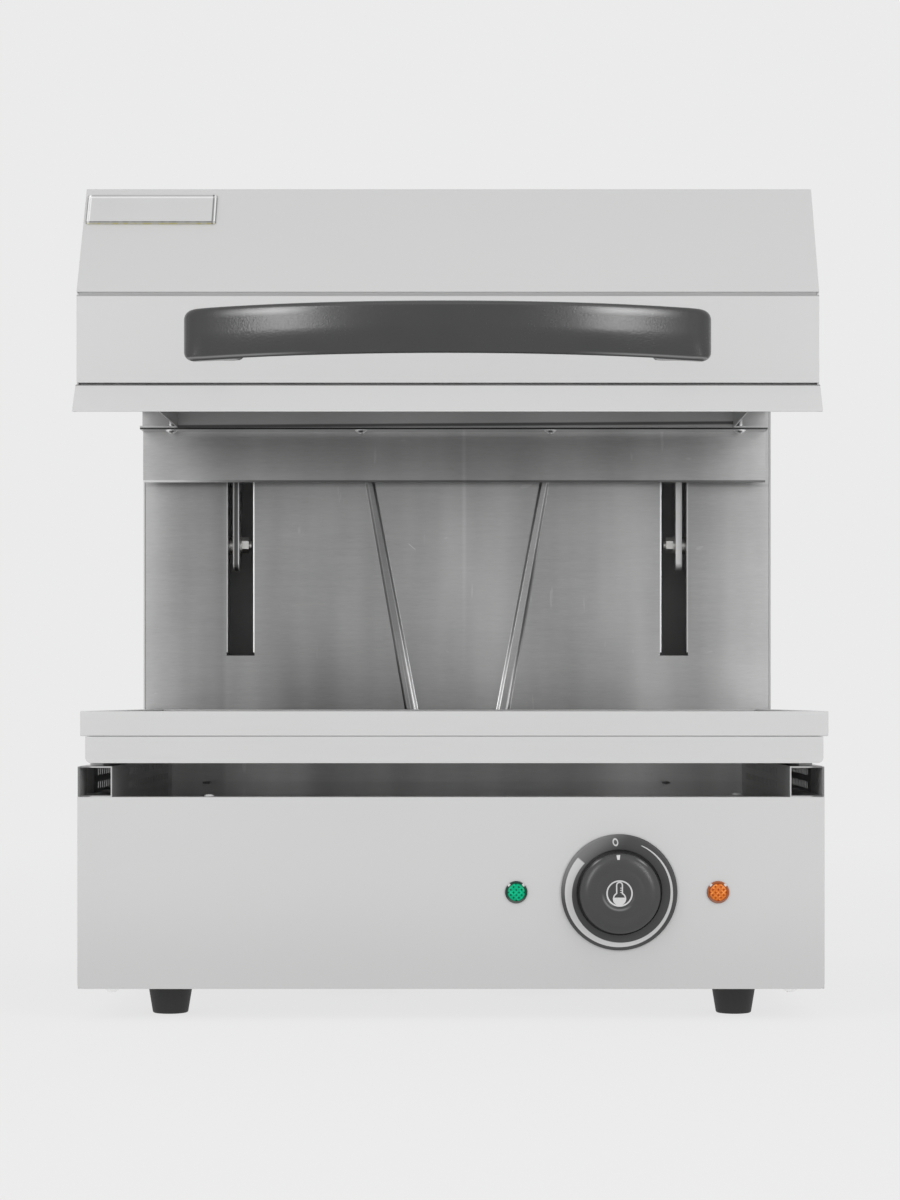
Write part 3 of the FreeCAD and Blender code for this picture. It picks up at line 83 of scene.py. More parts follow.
# A shader socket: + - * / ** and the named comparisons add Math nodes
class Wire:
    def __init__(self, paint, socket):
        self.paint = paint
        self.socket = socket

    def math(self, operation, *values):
        return self.paint.add("Math", {"operation": operation}, dict(enumerate((self,) + values)))

    def __rsub__(self, other):
        return self * -1 + other

    # A soft step from 0 at the start to 1 at the end, falling where the start is the greater
    def step(self, start, end):
        return self.paint.add("MapRange", {"interpolation_type": "SMOOTHSTEP"},
                              {0: self, 1: start, 2: end, 3: 0.0, 4: 1.0})

    # 1 within a distance of a centre, with soft sides
    def near(self, centre, half, soft):
        return (self - centre).size().step(half + soft, half - soft)


# Each operator or method of a wire and the Math node that it adds
wireMath = {
    "__add__": "ADD", "__radd__": "ADD", "__sub__": "SUBTRACT", "__mul__": "MULTIPLY", "__rmul__": "MULTIPLY",
    "__truediv__": "DIVIDE", "__pow__": "POWER", "size": "ABSOLUTE", "least": "MINIMUM", "most": "MAXIMUM",
}
for method, operation in wireMath.items():
    setattr(Wire, method, lambda self, *others, operation=operation: self.math(operation, *others))


# Places and greys of a ramp's stops
def setStops(ramp, stops):
    ramp.elements[0].position, ramp.elements[1].position = stops[0][0], stops[-1][0]
    for place, shade in stops[1:-1]:
        ramp.elements.new(place)
    for element, (place, shade) in zip(ramp.elements, stops):
        element.color = tone(shade)


# A material under construction
class Paint:
    def __init__(self, name):
        self.material = bpy.data.materials.new(name)
        self.material.use_nodes = True
        self.tree = self.material.node_tree
        self.tree.nodes.clear()
        self.spot = self.add("TexCoord", None, None, 3)

    # One node: its settings first, then the values or links of its sockets
    def add(self, kind, settings=None, sockets=None, output=0):
        node = self.tree.nodes.new("ShaderNode" + kind)
        for name, value in (settings or {}).items():
            if name == "stops":
                setStops(node.color_ramp, value)
            else:
                setattr(node, name, value)
        for slot, value in (sockets or {}).items():
            if isinstance(value, Wire):
                self.tree.links.new(value.socket, node.inputs[slot])
            else:
                node.inputs[slot].default_value = value
        return Wire(self, node.outputs[output] if len(node.outputs) else None)

    # Millimetres right of, behind and above a centre
    def axes(self, centre):
        moved = self.add("VectorMath", {"operation": "SUBTRACT"}, {0: self.spot, 1: centre})
        return [self.add("SeparateXYZ", None, {0: moved}, i) * 1000 for i in range(3)]

    def noise(self, scale, detail=2.0, stretch=(1, 1, 1), shift=(0, 0, 0)):
        moved = self.add("VectorMath", {"operation": "MULTIPLY_ADD"},
                         {0: self.spot, 1: stretch, 2: shift})
        return self.add("TexNoise", None, {"Vector": moved, "Scale": scale, "Detail": detail})

    # Noise about zero
    def swing(self, *values):
        return self.noise(*values) - 0.5

    # Fine brushing along one axis, or its broader lines
    def brushed(self, along, scale=1500, detail=3, shift=(0, 0, 0)):
        return self.swing(scale, detail, [0.07 if axis == along else 1 for axis in "xyz"], shift)

    def mix(self, factor, first, second):
        return self.add("Mix", {"data_type": "RGBA"},
                        {0: factor, 6: tone(first), 7: tone(second)}, 2)

    # A grey that follows listed stops between the two ends of a value
    def graded(self, value, low, high, stops):
        reach = high - low
        stops = [((place - low) / reach, shade) for place, shade in stops]
        return self.add("ValToRGB", {"stops": stops}, {0: (value - low) / reach})

    def bump(self, height, distance, strength=1.0):
        return self.add("Bump", None,
                        {"Height": height, "Distance": distance, "Strength": strength})

    def finish(self, sockets):
        shader = self.add("BsdfPrincipled", None, sockets)
        self.add("OutputMaterial", None, {"Surface": shader})
        return self.material

    # Sheet metal: a grey level with its metal share and roughness, and the grain as a faint bump
    def sheet(self, level, metal, rough, grain, strength=0.35, tint=(1, 1, 1)):
        return self.finish({
            "Base Color": self.mix(level, (0, 0, 0), tint), "Metallic": metal, "Roughness": rough,
            "Normal": self.bump(grain, 0.00002, strength),
        })


# A new material with its axes
def started(name, centre=(0, frontY, 0)):
    paint = Paint(name)
    return paint, *paint.axes(centre)


# A grey number or a colour of three as the four numbers of a socket
def tone(value):
    if isinstance(value, Wire):
        return value
    parts = (value,) * 3 if isinstance(value, (int, float)) else tuple(value)
    return parts + (1.0,)


# Brushed sheet: drawn-out noise for the lines, a soft cloud for handling marks
def steelFinish(name, grey, rough, along="x", streak=0.04, cloud=0.02, metal=1.0):
    paint = Paint(name)
    fine = paint.brushed(along)
    broad = paint.brushed(along, 330, 2, (3, 5, 7))
    soft = paint.swing(9, 2, (1, 1, 1), (1, 2, 3))
    level = (fine * (streak * 1.2) + broad * (streak * 1.6) + soft * (cloud * 4) + 1) * grey
    return paint.sheet(level, metal, fine * 0.1 + soft * 0.08 + rough, fine + broad)


# Column sheet: brushing, upright bands, scratches, a painted highlight streak, painted light and shade across
# and up it, a painted shadow under the hem, painted highlights on the slot edges and painted strokes of light
# and shade on the ribs. Across a rib, the unit is its half width. A stroke has its rib, middle, half width,
# softness, the share of the rib's rise over which it comes or goes, and its strength
column = {
    "grey": 0.47, "rough": 0.33, "slotX": 155.5, "slotHalf": 9.0, "slotFold": 1.0, "slotLow": 227,
    "ribLowX": 26.3, "ribSlope": 58.3, "ribLowZ": 150, "ribRise": 320, "ribLowHalf": 4.95, "ribNarrows": 2.65,
    "ribFoot": 168, "half": 225, "highlightStreakX": 5.0, "scratchX": -32.5, "scratchZ": 303, "scratchSlope": 0.85,
    # painted light and shade across the sheet, then up it
    "paintedLightAlong": ((-225, 0.95), (-195, 0.68), (-168, 0.53), (-166, 0.62), (-113, 0.72), (-41, 0.80), (0, 0.88),
               (25, 0.90), (66, 0.82), (131, 0.87), (166, 0.74), (174, 0.74), (203, 0.94), (225, 1.08)),
    "paintedLightUpward": ((134, 0.95), (166, 0.95), (176, 0.70), (190, 0.78), (210, 0.88), (250, 1.0), (300, 1.03),
               (340, 1.18), (348, 1.18)),
    "hemShade": 347.0,
    # painted strokes on the ribs: shade (dark) and light (bright)
    "dark": (("left", 0.1, 0.85, 0.15, 0.18, 0.32, 0.28), ("left", -0.92, 0.14, 0.06, 0.18, 0.32, 0.38),
             ("left", -0.92, 0.12, 0.08, 0.27, 0.20, 0.55), ("right", -0.86, 0.22, 0.10, 0.24, 0.34, 0.32),
             ("right", 0.88, 0.30, 0.14, 0.20, 0.30, 0.20)),
    "bright": (("left", 0.72, 0.32, 0.10, 0.36, 0.04, 1.5), ("left", -0.05, 0.05, 0.06, 0.30, 0.12, 0.5),
               ("right", -0.82, 0.26, 0.10, 0.30, 0.10, 1.7), ("right", 0.70, 0.32, 0.10, 0.25, 0.12, 1.2)),
}


def brushedColumn(paint, x, z):
    fine = paint.swing(1500, 3, (0.10, 1, 1))
    broad = paint.swing(380, 2, (0.08, 1, 1), (3, 5, 7))
    bands = paint.swing(26, 2, (1, 1, 0.12), (5, 1, 2))
    soft = paint.swing(10, 3, (1, 1, 1), (1, 2, 3))
    specks = paint.noise(160, 3, (1, 1, 0.15), (9, 4, 2)).step(0.70, 0.74)
    arcs = paint.noise(90, 4, (0.4, 1, 1.2), (2, 8, 5)).step(0.71, 0.74)
    # painted highlight: a soft upright streak of light on the upper sheet
    streak = x.near(column["highlightStreakX"], 1.2, 1.2) * z.step(180, 360)
    level = fine * 0.20 + broad * 0.12 + bands * 0.60 + soft * 0.40
    level = level + streak * 0.16 + (specks + arcs) * 0.14 + 1
    return level, fine * 0.1 + soft * 0.1, fine + broad


def paintedRibStrokes(strokes, across, share, ribs):
    total = 0
    for rib, middle, half, soft, start, end, strength in strokes:
        total = across.near(middle, half, soft) * share.step(start, end) * ribs[rib] * strength + total
    return total


def columnFinish():
    paint, x, depth, z = started("columnSteel")
    level, uneven, grain = brushedColumn(paint, x, z)
    side = x.size()
    # painted light and shade across and up the sheet, lighter on the outer strips and low in the gap over the
    # deck, with a painted shadow under the hem
    outer = side.step(112, 150) * 0.9 * z.step(170, 180)
    drop = paint.graded(z, 134, 348, column["paintedLightUpward"])
    level = level * paint.graded(x, -column["half"], column["half"], column["paintedLightAlong"])
    level = level * (drop + (1 - drop) * outer)
    level = level * (1 - z.near(column["hemShade"], 1.0, 0.6) * 0.15) * (1 + outer * z.step(250, 200) * 0.17)
    level = level * (1 + side.step(85, 125) * z.step(172, 166) * 0.45)
    along = x - column["scratchX"]
    scratch = (along * column["scratchSlope"] + z).near(column["scratchZ"], 0.25, 0.25)
    level = level + along.near(0, 2.4, 0.5) * scratch * 0.5
    # painted strokes of shade and light on the pressed ribs
    ribs = {"left": x.step(1, -1), "right": x.step(-1, 1)}
    share = (z - column["ribLowZ"]) / column["ribRise"]
    middle = share * column["ribSlope"] + column["ribLowX"]
    across = (side - middle) / (column["ribLowHalf"] - share * column["ribNarrows"]) * x.math("SIGN")
    wide = across.near(0.1, 0.85, 0.15) * share.step(0.18, 0.32) * share.near(0.50, 0.1, 0.25) * 0.10
    waist = across.near(0.88, 0.30, 0.14) * share.near(0.36, 0.09, 0.06) * 0.35
    dark = paintedRibStrokes(column["dark"], across, share, ribs) + wide * ribs["left"] + waist * ribs["right"]
    pressed = z.step(column["ribFoot"] - 1, column["ribFoot"] + 1)
    level = level * (1 - dark.least(0.8) * pressed)
    level = level + paintedRibStrokes(column["bright"], across, share, ribs) * pressed
    # painted highlight along the slot edges
    edge = (side - column["slotX"]).size().near(column["slotHalf"] + column["slotFold"] / 2, 0.55, 0.15)
    inner = side.step(column["slotX"] + 1, column["slotX"] - 1)
    level = level + edge * z.step(column["slotLow"] - 1, column["slotLow"] + 0.5) * (inner * 1.1 + 0.35)
    return paint.sheet(level * column["grey"], 1.0, uneven + column["rough"], grain, 0.20)


# Rear skirt: the column's brushing and painted highlight streak, painted light and shade along it, a painted
# highlight on the hem's left end, painted shade on the rest of the hem and a painted gap shadow on its
# flange's front edge
skirtPaint = {
    "grey": 0.546, "rough": 0.32, "hem": 349.6, "flangeDepth": 287.6,
    # painted light and shade along the skirt
    "paintedLightAlong": ((-225, 0.86), (-195, 0.84), (-174, 0.72), (-113, 0.76), (0, 0.76), (66, 0.80), (150, 0.84),
               (203, 0.94), (222, 1.0)),
}


def skirtFinish():
    paint, x, depth, z = started("skirtSteel")
    level, uneven, grain = brushedColumn(paint, x, z)
    # painted highlight on the hem's left end, painted shade on the rest of it, painted gap shadow on the
    # flange's edge
    hem = z.step(skirtPaint["hem"] + 0.2, skirtPaint["hem"] - 0.3)
    gapShadow = depth.step(skirtPaint["flangeDepth"] + 0.2, skirtPaint["flangeDepth"] - 0.2)
    level = level * paint.graded(x, -column["half"], column["half"], skirtPaint["paintedLightAlong"])
    level = (level + hem * x.step(-180, -205) * 0.385) * (1 - hem * x.step(-185, -140) * 0.62)
    level = level * (1 - gapShadow * 0.85)
    return paint.sheet(level * skirtPaint["grey"], 1.0, uneven + skirtPaint["rough"], grain, 0.20)


# Heating chamber: dull inner steel, a little lighter towards its right end, with a painted shade along the
# gap over the skirt at its rear edge
chamberPaint = {"grey": 0.49, "gap": 387.0, "gapHalf": 1.1, "gapSlant": 0.007, "gapDepth": 282}


def chamberFinish():
    paint, x, depth, z = started("chamberSteel")
    fine, soft = paint.brushed("x"), paint.swing(9)
    # painted shade along the gap over the skirt
    gap = (z - x * chamberPaint["gapSlant"]).near(chamberPaint["gap"], chamberPaint["gapHalf"], 0.5)
    gap = gap * depth.step(chamberPaint["gapDepth"] - 2, chamberPaint["gapDepth"] + 2)
    level = (fine * 0.2 + soft * 0.5 + x.step(80, 180) * 0.12 + 1) * (1 - gap * 0.72) * chamberPaint["grey"]
    return paint.sheet(level, 0.8, soft * 0.1 + 0.38, fine)


# Lifting arms: plain steel, and the left one's cut front edge has a painted shade between its bright corners
armPaint = {"grey": 0.66, "left": -159.4, "cutHalf": 1.35}


def armFinish():
    paint, x, depth, z = started("armSteel")
    fine, soft = paint.brushed("z"), paint.swing(40, 3, (1, 1, 0.2))
    # painted shade on the left arm's cut front edge
    cut = x.near(armPaint["left"], armPaint["cutHalf"], 0.3)
    level = (fine * 0.1 + soft * 0.3 + 1) * (1 - cut * 0.85) * armPaint["grey"]
    return paint.sheet(level, 0.8, soft * 0.2 + 0.4, fine)


# Worked metal for fasteners, rods and bars: a fine mottle and darker patches
def metalFinish(name, grey, rough, mottle=0.12, scale=700, tint=(1, 1, 1)):
    paint = Paint(name)
    grain = paint.swing(scale, 3)
    patch = paint.swing(scale / 12, 2, (1, 1, 1), (4, 1, 6))
    level = (grain * mottle + patch * mottle * 2 + 1) * grey
    return paint.finish({
        "Base Color": paint.mix(level, (0, 0, 0), tint), "Metallic": 1.0, "Roughness": patch * 0.2 + rough,
        "Normal": paint.bump(grain, 0.00003, 0.3),
    })


# Plastic, rubber and ceramic: a pebble in the bump and a faint cloud in the colour
def mouldedFinish(name, shade, rough, pebble=0.00003, scale=1400, cloud=0.12, gloss=0.5):
    paint = Paint(name)
    grain = paint.swing(scale)
    patch = paint.noise(24, 3, (1, 1, 1), (2, 7, 3))
    dark = [part * (1 - cloud) for part in shade]
    light = [part * (1 + cloud) for part in shade]
    return paint.finish({
        "Base Color": paint.mix(patch.step(0.3, 0.7), dark, light),
        "Roughness": grain * 0.12 + (patch - 0.5) * 0.1 + rough,
        "Specular IOR Level": gloss, "Normal": paint.bump(grain, pebble, 0.6),
    })


# Handle: pebbled black plastic with painted highlights on its upper front near both ends and along the rolled
# rim, and dull underneath
handlePaint = {"centre": (-0.002, frontY, 0.4115), "highlightX": 108, "highlightZ": 11.2, "rolledZ": -13.9,
               "below": -14.9}


def handleFinish():
    paint, x, depth, z = started("handlePlastic", handlePaint["centre"])
    grain, coarse = paint.noise(900), paint.noise(760, 2, (1, 1, 1), (4, 4, 1))
    patch = paint.noise(24, 3, (1, 1, 1), (2, 7, 3))
    side = x.size()
    # painted highlights near both ends of the upper front
    paintedHighlight = z.near(handlePaint["highlightZ"], 1.6, 1.8) * side.near(handlePaint["highlightX"], 20, 16)
    paintedHighlight = paintedHighlight * (patch * 0.6 + 0.6)
    below = z.step(handlePaint["below"] + 0.3, handlePaint["below"] - 0.3)
    # painted highlight along the rolled rim near both ends
    rolled = z.near(handlePaint["rolledZ"], 0.5, 0.5) * side.step(70, 115)
    shade = paint.mix(patch.step(0.3, 0.7), 0.012, 0.015)
    return paint.finish({
        "Base Color": paint.mix((paintedHighlight * 0.55).most(rolled * 0.35), shade, 0.42),
        "Roughness": (grain - 0.5) * 0.12 + (patch - 0.5) * 0.1 + 0.24 + below * 0.5,
        "Specular IOR Level": 0.8,
        "Normal": paint.bump(grain + coarse * side.near(118, 8, 22) * 2.6, 0.00009, 0.6),
    })


finishes = {
    "outer_steel": steelFinish("outerSteel", 0.54, 0.52, "x", 0.016, 0.005, 0.55),
    "column_steel": columnFinish(),
    "inner_steel": steelFinish("innerSteel", 0.62, 0.38, "x", 0.10, 0.05, 0.7),
    "zinc_steel": metalFinish("zincSteel", 0.62, 0.36, tint=(1.0, 0.99, 0.96)),
    "bright_chrome": metalFinish("brightChrome", 0.72, 0.16, 0.05),
    "element_metal": metalFinish("elementMetal", 0.16, 0.5, 0.3, 300, (1.0, 0.93, 0.86)),
    "black_plastic": handleFinish(),
    "knob_plastic": mouldedFinish("knobPlastic", (0.030, 0.030, 0.031), 0.38, 0.00001),
    "control_plastic": mouldedFinish("controlPlastic", (0.55, 0.53, 0.48), 0.45),
    "guide_nylon": mouldedFinish("guideNylon", (0.72, 0.71, 0.66), 0.5),
    "black_rubber": mouldedFinish("footRubber", (0.016, 0.016, 0.016), 0.62, 0.00005, 900),
    "lamp_glass": mouldedFinish("lampGlass", (0.60, 0.55, 0.50), 0.15),
    "terminal_brass": metalFinish("terminalBrass", 0.62, 0.3, tint=(1.0, 0.82, 0.45)),
    "white_ceramic": mouldedFinish("whiteCeramic", (0.78, 0.77, 0.73), 0.35, 0.00002),
    "wool": mouldedFinish("mineralWool", (0.55, 0.52, 0.40), 0.95, 0.0006, 260, 0.2, 0.2),
    "wire_sleeve": mouldedFinish("wireSleeve", (0.42, 0.10, 0.05), 0.5, 0.00002),
}


# Hood sheets with a soft shade along a fold: grey, metal, and the shade's height, half width and strength
seamShade = {"face": (0.54, 0.55, 438.0, 0.6, 0.42), "cover": (0.54, 0.55, 438.5, 0.8, 0.30),
             "lip": (0.578, 0.45, 384.7, 1.5, 0.82)}


def seamFinish(name):
    grey, metal, middle, half, strength = seamShade[name]
    paint, x, depth, z = started(name + "Steel")
    fine, soft = paint.brushed("x"), paint.swing(9)
    shade = z.near(middle, half, 0.25) * depth.step(10.5, 9.5)
    shade = shade * (paint.noise(14, 1, (1, 0, 0)) * 0.5 + 0.75) * strength
    return paint.sheet((fine * 0.02 + soft * 0.02 + 1) * (1 - shade) * grey, metal, fine * 0.1 + 0.52, fine)


# Control panel: the outer steel, with a painted shade growing towards its lower edge
panelPaint = {"grey": 0.575, "low": 19, "high": 92, "fall": 0.075}


def panelFinish():
    paint, x, depth, z = started("panelSteel")
    fine, soft = paint.brushed("x"), paint.swing(9)
    # painted shade towards the lower edge
    fall = z.step(panelPaint["high"], panelPaint["low"]) * panelPaint["fall"]
    level = (fine * 0.02 + soft * 0.02 + 1 - fall) * panelPaint["grey"]
    return paint.sheet(level, 0.55, fine * 0.1 + 0.52, fine)


# Channel of a rail and a side panel: painted shade inside the channel, which leaves its front edges bright,
# painted shade on the outer wall's and the panel's front edges, and painted light on a stretch of outer wall
channel = {"rail": 0.5, "side": 0.54, "middle": 143.7, "half": 9.0, "inner": 224.45, "outer": 217.5,
           "lit": 46, "litHalf": 15}


def railFinish():
    paint, x, depth, z = started("railSteel")
    fine, soft = paint.brushed("y"), paint.swing(30, 3)
    # painted shade inside the channel and on the outer wall's front edge, painted light on a stretch of outer
    # wall
    inside = depth.step(1.6, 3.0)
    outer = x.size().step(channel["outer"] - 1.5, channel["outer"] + 1.5)
    level = (fine * 0.1 + soft * 0.25 + 1) * (1 - inside * 0.25) * (1 - (1 - inside) * outer * 0.6)
    level = level * (depth.near(channel["lit"], channel["litHalf"], 2) * outer * 1.3 + 1) * channel["rail"]
    return paint.sheet(level, 0.7, soft * 0.2 + 0.35, fine)


def sidePanelFinish():
    paint, x, depth, z = started("sidePanelSteel")
    fine, soft = paint.brushed("y"), paint.swing(9)
    # painted shade on the panel's front edge at the rail, and painted light on a stretch of it
    within = z.near(channel["middle"], channel["half"], 0.4)
    lit = depth.near(channel["lit"], channel["litHalf"], 2)
    lit = lit * x.size().step(channel["inner"] + 0.15, channel["inner"] - 0.15)
    level = (fine * 0.04 + soft * 0.03 + 1) * (1 - within * depth.step(2.2, 1.6) * 0.65)
    level = (level * (within * lit + 1) * channel["side"]).least(0.95)
    return paint.sheet(level, 0.6, fine * 0.1 + 0.50, fine)


# Blank plate's border: painted highlights on its left and top bevels and the outer right one, painted shade
# inside the right bevel and along the lower side, dark outlines and a warm foot
platePaint = {"grey": 0.56, "left": -225.2, "right": -145.2, "low": 487.0, "edge": 486.4, "high": 505.2}


def plateFinish():
    paint, x, depth, z = started("plateMetal")
    left, right, high = x - platePaint["left"], x - platePaint["right"], z - platePaint["high"]
    soft, broken = paint.swing(40), paint.noise(260, 2, (1, 1, 0.2))
    # painted shade lines and painted light on the bevels, with dark outlines
    lowLine = z.near(platePaint["low"], 0.40, 0.25) * (broken * 0.5 + 0.45)
    lines = right.near(-2.2, 0.45, 0.3) * 0.62 + right.near(0, 0.5, 0.2) * 0.5
    lines = lines + left.near(0, 0.5, 0.2) * 0.55 + high.near(0, 0.35, 0.2) * 0.25
    light = left.near(1.5, 0.8, 0.3).most(high.near(-1.1, 0.5, 0.3) * 0.7)
    light = light.most(right.near(-1.0, 0.6, 0.3) * 0.8)
    level = 1 + light * 0.45 - lines.most(lowLine) + soft * 0.05
    edge = z.step(platePaint["edge"] + 0.15, platePaint["edge"] - 0.15)
    warm = paint.mix(edge * (broken.step(0.42, 0.58) * 0.6 + 0.4), (1, 1, 1), (0.93, 0.85, 0.38))
    return paint.finish({
        "Base Color": paint.mix(level * platePaint["grey"], (0, 0, 0), warm), "Metallic": 0.8,
        "Roughness": soft * 0.1 + 0.34,
    })


# Nodes with a finish of their own; the two of a pair share it
nodeFinish = {
    "control_panel": panelFinish(), "hood_lip": seamFinish("lip"), "hood_front_panel": seamFinish("face"),
    "hood_top_cover": seamFinish("cover"), "heating_chamber": chamberFinish(), "rear_skirt": skirtFinish(),
    "base_deck": steelFinish("deckSteel", 0.92, 0.10, "x", 0.06, 0.03, 1.0),
}
lowerSteel = steelFinish("lowerSteel", 0.575, 0.52, "x", 0.016, 0.005, 0.55)
nodeFinish["rack_frame"] = nodeFinish["drip_pan"] = lowerSteel
pairFinish = {
    "side_panel": sidePanelFinish(), "cheek": steelFinish("sideSteel", 0.54, 0.50, "y", 0.02, 0.008, 0.6),
    "rail": railFinish(), "arm": armFinish(), "guide": steelFinish("guideSteel", 0.22, 0.5, "z", 0.1, 0.05),
}
for name, finish in pairFinish.items():
    nodeFinish["left_" + name] = nodeFinish["right_" + name] = finish
print("finishes mixed:", len(finishes) + len(nodeFinish))


# Quads between rings of points: each ring's last point joins its first
def gridFaces(rings, points):
    ring, place = np.meshgrid(np.arange(rings - 1), np.arange(points), indexing="ij")
    start, place = ring.ravel() * points, place.ravel()
    following = (place + 1) % points
    return np.stack([start + place, start + following, start + points + following, start + points + place], 1)


# A piece takes the body of the node that it stands for, and that node is hidden
def standFor(piece, node, rides=True):
    bpy.context.scene.collection.objects.link(piece)
    if node and rides:
        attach(piece, bodyOf[node])
    if node:
        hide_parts(node)
    return piece


# One mesh from (points, faces) shapes: doubles merged, faces turned outwards, sharp edges kept
def makePiece(name, shapes, node, sharp, finish=None, rides=True):
    points, faces, offset = [], [], 0
    for shapePoints, shapeFaces in shapes:
        points.append(np.asarray(shapePoints, float).reshape(-1, 3))
        faces += (shapeFaces + offset).tolist()
        offset += len(points[-1])
    mesh = bpy.data.meshes.new(name)
    mesh.from_pydata(np.vstack(points).tolist(), [], faces)
    work = bmesh.new()
    work.from_mesh(mesh)
    bmesh.ops.remove_doubles(work, verts=work.verts, dist=1e-7)
    bmesh.ops.dissolve_degenerate(work, edges=work.edges, dist=1e-8)
    bmesh.ops.recalc_face_normals(work, faces=work.faces)
    work.to_mesh(mesh)
    work.free()
    mesh.shade_smooth()
    mesh.set_sharp_from_angle(angle=math.radians(sharp))
    mesh.materials.append(finish or finishes[slotOf[node]])
    return standFor(bpy.data.objects.new(name, mesh), node, rides)


# A polyline with a quadratic curve at each corner, between two points set back from it
def softened(line, setback, steps=5):
    line = np.asarray(line, float)
    corner = line[1:-1]
    sides = line[:-2] - corner, line[2:] - corner
    lengths = [np.linalg.norm(side, axis=1, keepdims=True) for side in sides]
    cut = np.minimum(setback, 0.48 * np.minimum(*lengths))
    start, end = [(corner + side / length * cut)[:, None] for side, length in zip(sides, lengths)]
    t = np.linspace(0, 1, steps)[None, :, None]
    curve = (1 - t) ** 2 * start + 2 * t * (1 - t) * corner[:, None] + t ** 2 * end
    return np.vstack([line[:1], curve.reshape(-1, line.shape[1]), line[-1:]])


# Two directions square to an axis and to each other
def squareTo(axis):
    side = np.cross(axis, (0.0, 0.0, 1.0) if abs(axis[2]) < 0.9 else (1.0, 0.0, 0.0))
    side /= np.linalg.norm(side)
    return side, np.cross(axis, side)


# A turned shape: (radius, height) pairs carried round an axis from a centre
def turned(profile, centre, axis, steps=64):
    axis = np.asarray(axis, float)
    side, other = squareTo(axis)
    angle = np.linspace(0, 2 * np.pi, steps, endpoint=False)
    radius, height = np.asarray(profile, float).T
    ring = np.cos(angle)[:, None] * side + np.sin(angle)[:, None] * other
    points = np.asarray(centre) + height[:, None, None] * axis + radius[:, None, None] * ring[None]
    return points, gridFaces(len(radius), steps)


# A round bar along a path, each end closed by a point
def sweptBar(path, radius, steps=12, up=(0.0, 0.0, 1.0)):
    path = np.asarray(path, float)
    ahead = np.gradient(path, axis=0)
    ahead /= np.linalg.norm(ahead, axis=1, keepdims=True)
    side = np.cross(ahead, up)
    side /= np.linalg.norm(side, axis=1, keepdims=True)
    other = np.cross(side, ahead)
    angle = np.linspace(0, 2 * np.pi, steps, endpoint=False)[None, :, None]
    rings = path[:, None] + radius * (np.cos(angle) * side[:, None] + np.sin(angle) * other[:, None])
    none = rings[:1] * 0
    return np.vstack([none + path[0], rings, none + path[-1]]), gridFaces(len(path) + 2, steps)


# A sheet node with rounded folds: its CAD mesh is merged, cleared of flat edges and bevelled
def foldedPiece(node, name, finish, width=0.0004, segments=2):
    mesh = nodes[node].data.copy()
    work = bmesh.new()
    work.from_mesh(mesh)
    bmesh.ops.remove_doubles(work, verts=work.verts, dist=2e-6)
    bmesh.ops.dissolve_limit(work, angle_limit=math.radians(0.6), verts=work.verts, edges=work.edges)
    work.to_mesh(mesh)
    work.free()
    mesh.shade_smooth()
    mesh.materials.clear()
    mesh.materials.append(finish)
    piece = bpy.data.objects.new(name, mesh)
    edge = piece.modifiers.new("roundedFolds", "BEVEL")
    edge.width = width
    edge.segments = segments
    edge.limit_method = "ANGLE"
    edge.angle_limit = math.radians(28)
    edge.use_clamp_overlap = True
    flats = piece.modifiers.new("flatFaces", "WEIGHTED_NORMAL")  # large faces keep their own normal
    flats.mode = "FACE_AREA"
    flats.weight = 100
    flats.keep_sharp = True
    return standFor(piece, node)


# Folded nodes, each with the name of its piece where it isn't called after the node
foldedNodes = """
control_panel left_side_panel=leftSide right_side_panel=rightSide column_cap rear_cover
column_front_panel=columnFront base_deck=trayDeck left_rail right_rail bottom_plate left_guide right_guide
spring_anchor hood_front_panel=hoodFace hood_top_cover=hoodCover hood_lip left_cheek right_cheek
hood_rear_panel=hoodRear rear_skirt heating_chamber=heatChamber element_hangers left_arm right_arm
arm_fasteners=armBolts cross_bar slide_blocks slide_fasteners=slideBolts cross_bar_bolts=barBolts drip_pan
rack_frame cable_gland gland_nut foot_fasteners=footBolts
""".split()
for entry in foldedNodes:
    node, *given = entry.split("=")
    first, *others = node.split("_")
    name = given[0] if given else first + "".join(word.title() for word in others)
    foldedPiece(node, name, nodeFinish.get(node, finishes[slotOf[node]]))
print("sheet pieces folded:", len(foldedNodes))


# Bow handle: stations between an outer and an inner line, each a rounded rectangle whose front leans back
# below its middle and ends in a rolled rim
bow = {
    "middle": -0.002, "half": 0.1585, "height": 0.0311, "level": 0.4115, "face": 0.008, "end": -0.010,
    "reach": -0.050, "bar": 0.021, "foot": 0.035, "corner": 0.010, "stations": 132, "rounding": 0.0034,
    "lowRounding": 0.0016, "endRounding": 0.0056, "crown": 0.0009, "lean": 0.0028, "leanFrom": -0.0008,
    "leanOver": 0.0155, "rim": 0.0010, "rimLevel": 0.0143, "rimWidth": 0.0008, "tuck": 0.165,
    "tuckEnd": 0.1250,
}


# A shallow arc through (-half, end), (0, crest) and (half, end)
def arcBetween(half, end, crest, count):
    rise = end - crest
    radius = (half ** 2 + rise ** 2) / (2 * rise)
    turn = math.asin(half / radius)
    angle = np.linspace(-turn, turn, count)
    return np.stack([radius * np.sin(angle), crest + radius - radius * np.cos(angle)], 1)


# The same line again with its points at even distances
def evenly(line, count):
    length = np.concatenate([[0], np.cumsum(np.linalg.norm(np.diff(line, axis=0), axis=1))])
    wanted = np.linspace(0, length[-1], count)
    return np.stack([np.interp(wanted, length, line[:, k]) for k in range(line.shape[1])], 1)


